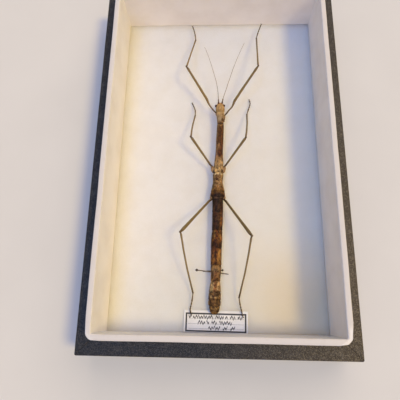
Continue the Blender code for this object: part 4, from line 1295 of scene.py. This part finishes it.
# %% The pins
pin_finish = Finish("pin_steel", **{"Specular IOR Level": 0.5})
tarnish = pin_finish.grain(1.4, detail=4.0, roughness=0.7)
pin_tone = pin_finish.mixed(pin_finish.rise(tarnish, 0.4, 0.65), paint(96, 84, 72), paint(60, 52, 46))
pin_finish.surface(pin_tone, 0.3 + tarnish * 0.3, tarnish, 0.02, Metallic=0.5 - tarnish * 0.4)
BALL_RADII = {"pin_left": 1.05, "pin_right": 0.85}
PIN_ROWS = [(0.0, 0.45), (0.01, 0.45), (0.02, 0.36), (0.9, 0.36), (0.97, 0.2), (1.0, 0.03)]
for name, ball_radius in BALL_RADII.items():
    points = np.array([tuple(vert.co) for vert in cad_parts[name].data.vertices]) / MM
    along = long_way(name)
    reach = points @ np.array(along)
    ends = [Vector(points[abs(reach - end) < 0.3].mean(axis=0)) for end in (reach.min(), reach.max())]
    head_end, point_end = sorted(ends, key=lambda end: -end.z)
    way = (point_end - head_end).normalized()
    centre = head_end + way * ball_radius * 0.85
    bm = bmesh.new()
    add_ball(bm, centre, (ball_radius * 0.97,) * 3, facing(way), 28)
    shaft = [centre + way * ball_radius * 0.5, centre.lerp(point_end, 0.5), point_end]
    add_stalk(bm, shaft, 0.5, PIN_ROWS, 14)
    show(bm, f"crossed_{name}", pin_finish, "pin_steel", name)

# %% [markdown]
# ## The floor, the light and the camera
#
# The case stands on a plain pale floor. One warm lamp from the right throws the long soft
# shadow of the wall and of the insect. A cool window, nearly overhead on the left, makes
# that shadow bluish. Two wide lights, behind and in front, reach the upright walls, and a
# dim grey surrounding fills what is left.


# %% Floor
FLOOR_HALF = 3.0  # metres
floor_finish = Finish("pale_floor", **{"Specular IOR Level": 0.2, "Roughness": 0.8})
floor_tone = floor_finish.grain(60.0, detail=4.0)
floor_colour = floor_finish.mixed(floor_tone, paint(214, 211, 206), paint(222, 219, 214))
floor_finish.set(**{"Base Color": floor_colour})
bm = bmesh.new()
bmesh.ops.create_grid(bm, x_segments=1, y_segments=1, size=FLOOR_HALF)
bmesh.ops.translate(bm, vec=(0, 0, -0.0001), verts=bm.verts)
floor_mesh = bpy.data.meshes.new("floor")
bm.to_mesh(floor_mesh)
bm.free()
floor_mesh.materials.append(floor_finish.material)
floor = bpy.data.objects.new("floor", floor_mesh)
bpy.context.scene.collection.objects.link(floor)
floor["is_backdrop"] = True
print("floor", floor_mesh.name, "6 m square")

# %% Lights
AROUND = (0.2, 0.2, 0.2)
LAMPS = {  # the way to the lamp, how wide it looks in radians, and the light it sends
    "warm_lamp": ((0.57, -0.15, 1.0), 0.24, (1.54, 1.175, 0.42)),
    "cool_window": ((-0.22, 0.0, 1.0), 0.38, (0.03, 0.326, 1.014)),
    "back_light": ((0.3, 0.7, 0.6), 1.2, (1.33, 1.08, 0.85)),
    "front_light": ((0.0, -0.75, 0.6), 1.0, (0.735, 0.62, 0.71)),
}

for name, (way, spread, sent) in LAMPS.items():
    light = bpy.data.lights.new(name, "SUN")
    light.angle = spread
    light.energy = max(sent)
    light.color = [part / light.energy for part in sent]
    lamp = bpy.data.objects.new(name, light)
    lamp.rotation_euler = Vector(way).to_track_quat("Z", "Y").to_euler()
    lamp.location = Vector(way).normalized() * 2
    bpy.context.scene.collection.objects.link(lamp)
world = bpy.data.worlds.new("around")
world.use_nodes = True
world.node_tree.nodes["Background"].inputs["Color"].default_value = (*AROUND, 1.0)
bpy.context.scene.world = world
bpy.context.scene.view_settings.view_transform = "Standard"
print("lights", list(LAMPS))

# %% Camera
CAMERA_LENS = 34.86
CAMERA_PLACE = (-0.0018, -0.1215, 0.3178)  # metres
CAMERA_TILT = (16.04, 2.11, 0.99)  # degrees about X, Y and Z
camera = bpy.data.cameras.new("camera")
camera.lens = CAMERA_LENS
camera.clip_start = 0.01
camera.dof.use_dof = False
viewpoint = bpy.data.objects.new("camera", camera)
viewpoint.location = CAMERA_PLACE
viewpoint.rotation_euler = [math.radians(angle) for angle in CAMERA_TILT]
bpy.context.scene.collection.objects.link(viewpoint)
bpy.context.scene.camera = viewpoint
print("camera", round(camera.lens, 1), "mm lens")

# %% [markdown]
# ## Sizes, and the end
#
# The sizes of the dressed model and of the measured one are printed side by side. The
# dressed model must fill the box of the measured one.

# %% Print the sizes and finish
visual_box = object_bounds()
boxes = {name: [list(map(float, corner)) for corner in box] for name, box in (("cad", CAD_BOX), ("visual", visual_box))}
print("sizes", boxes, "in", round(time.time() - started, 1), "s")
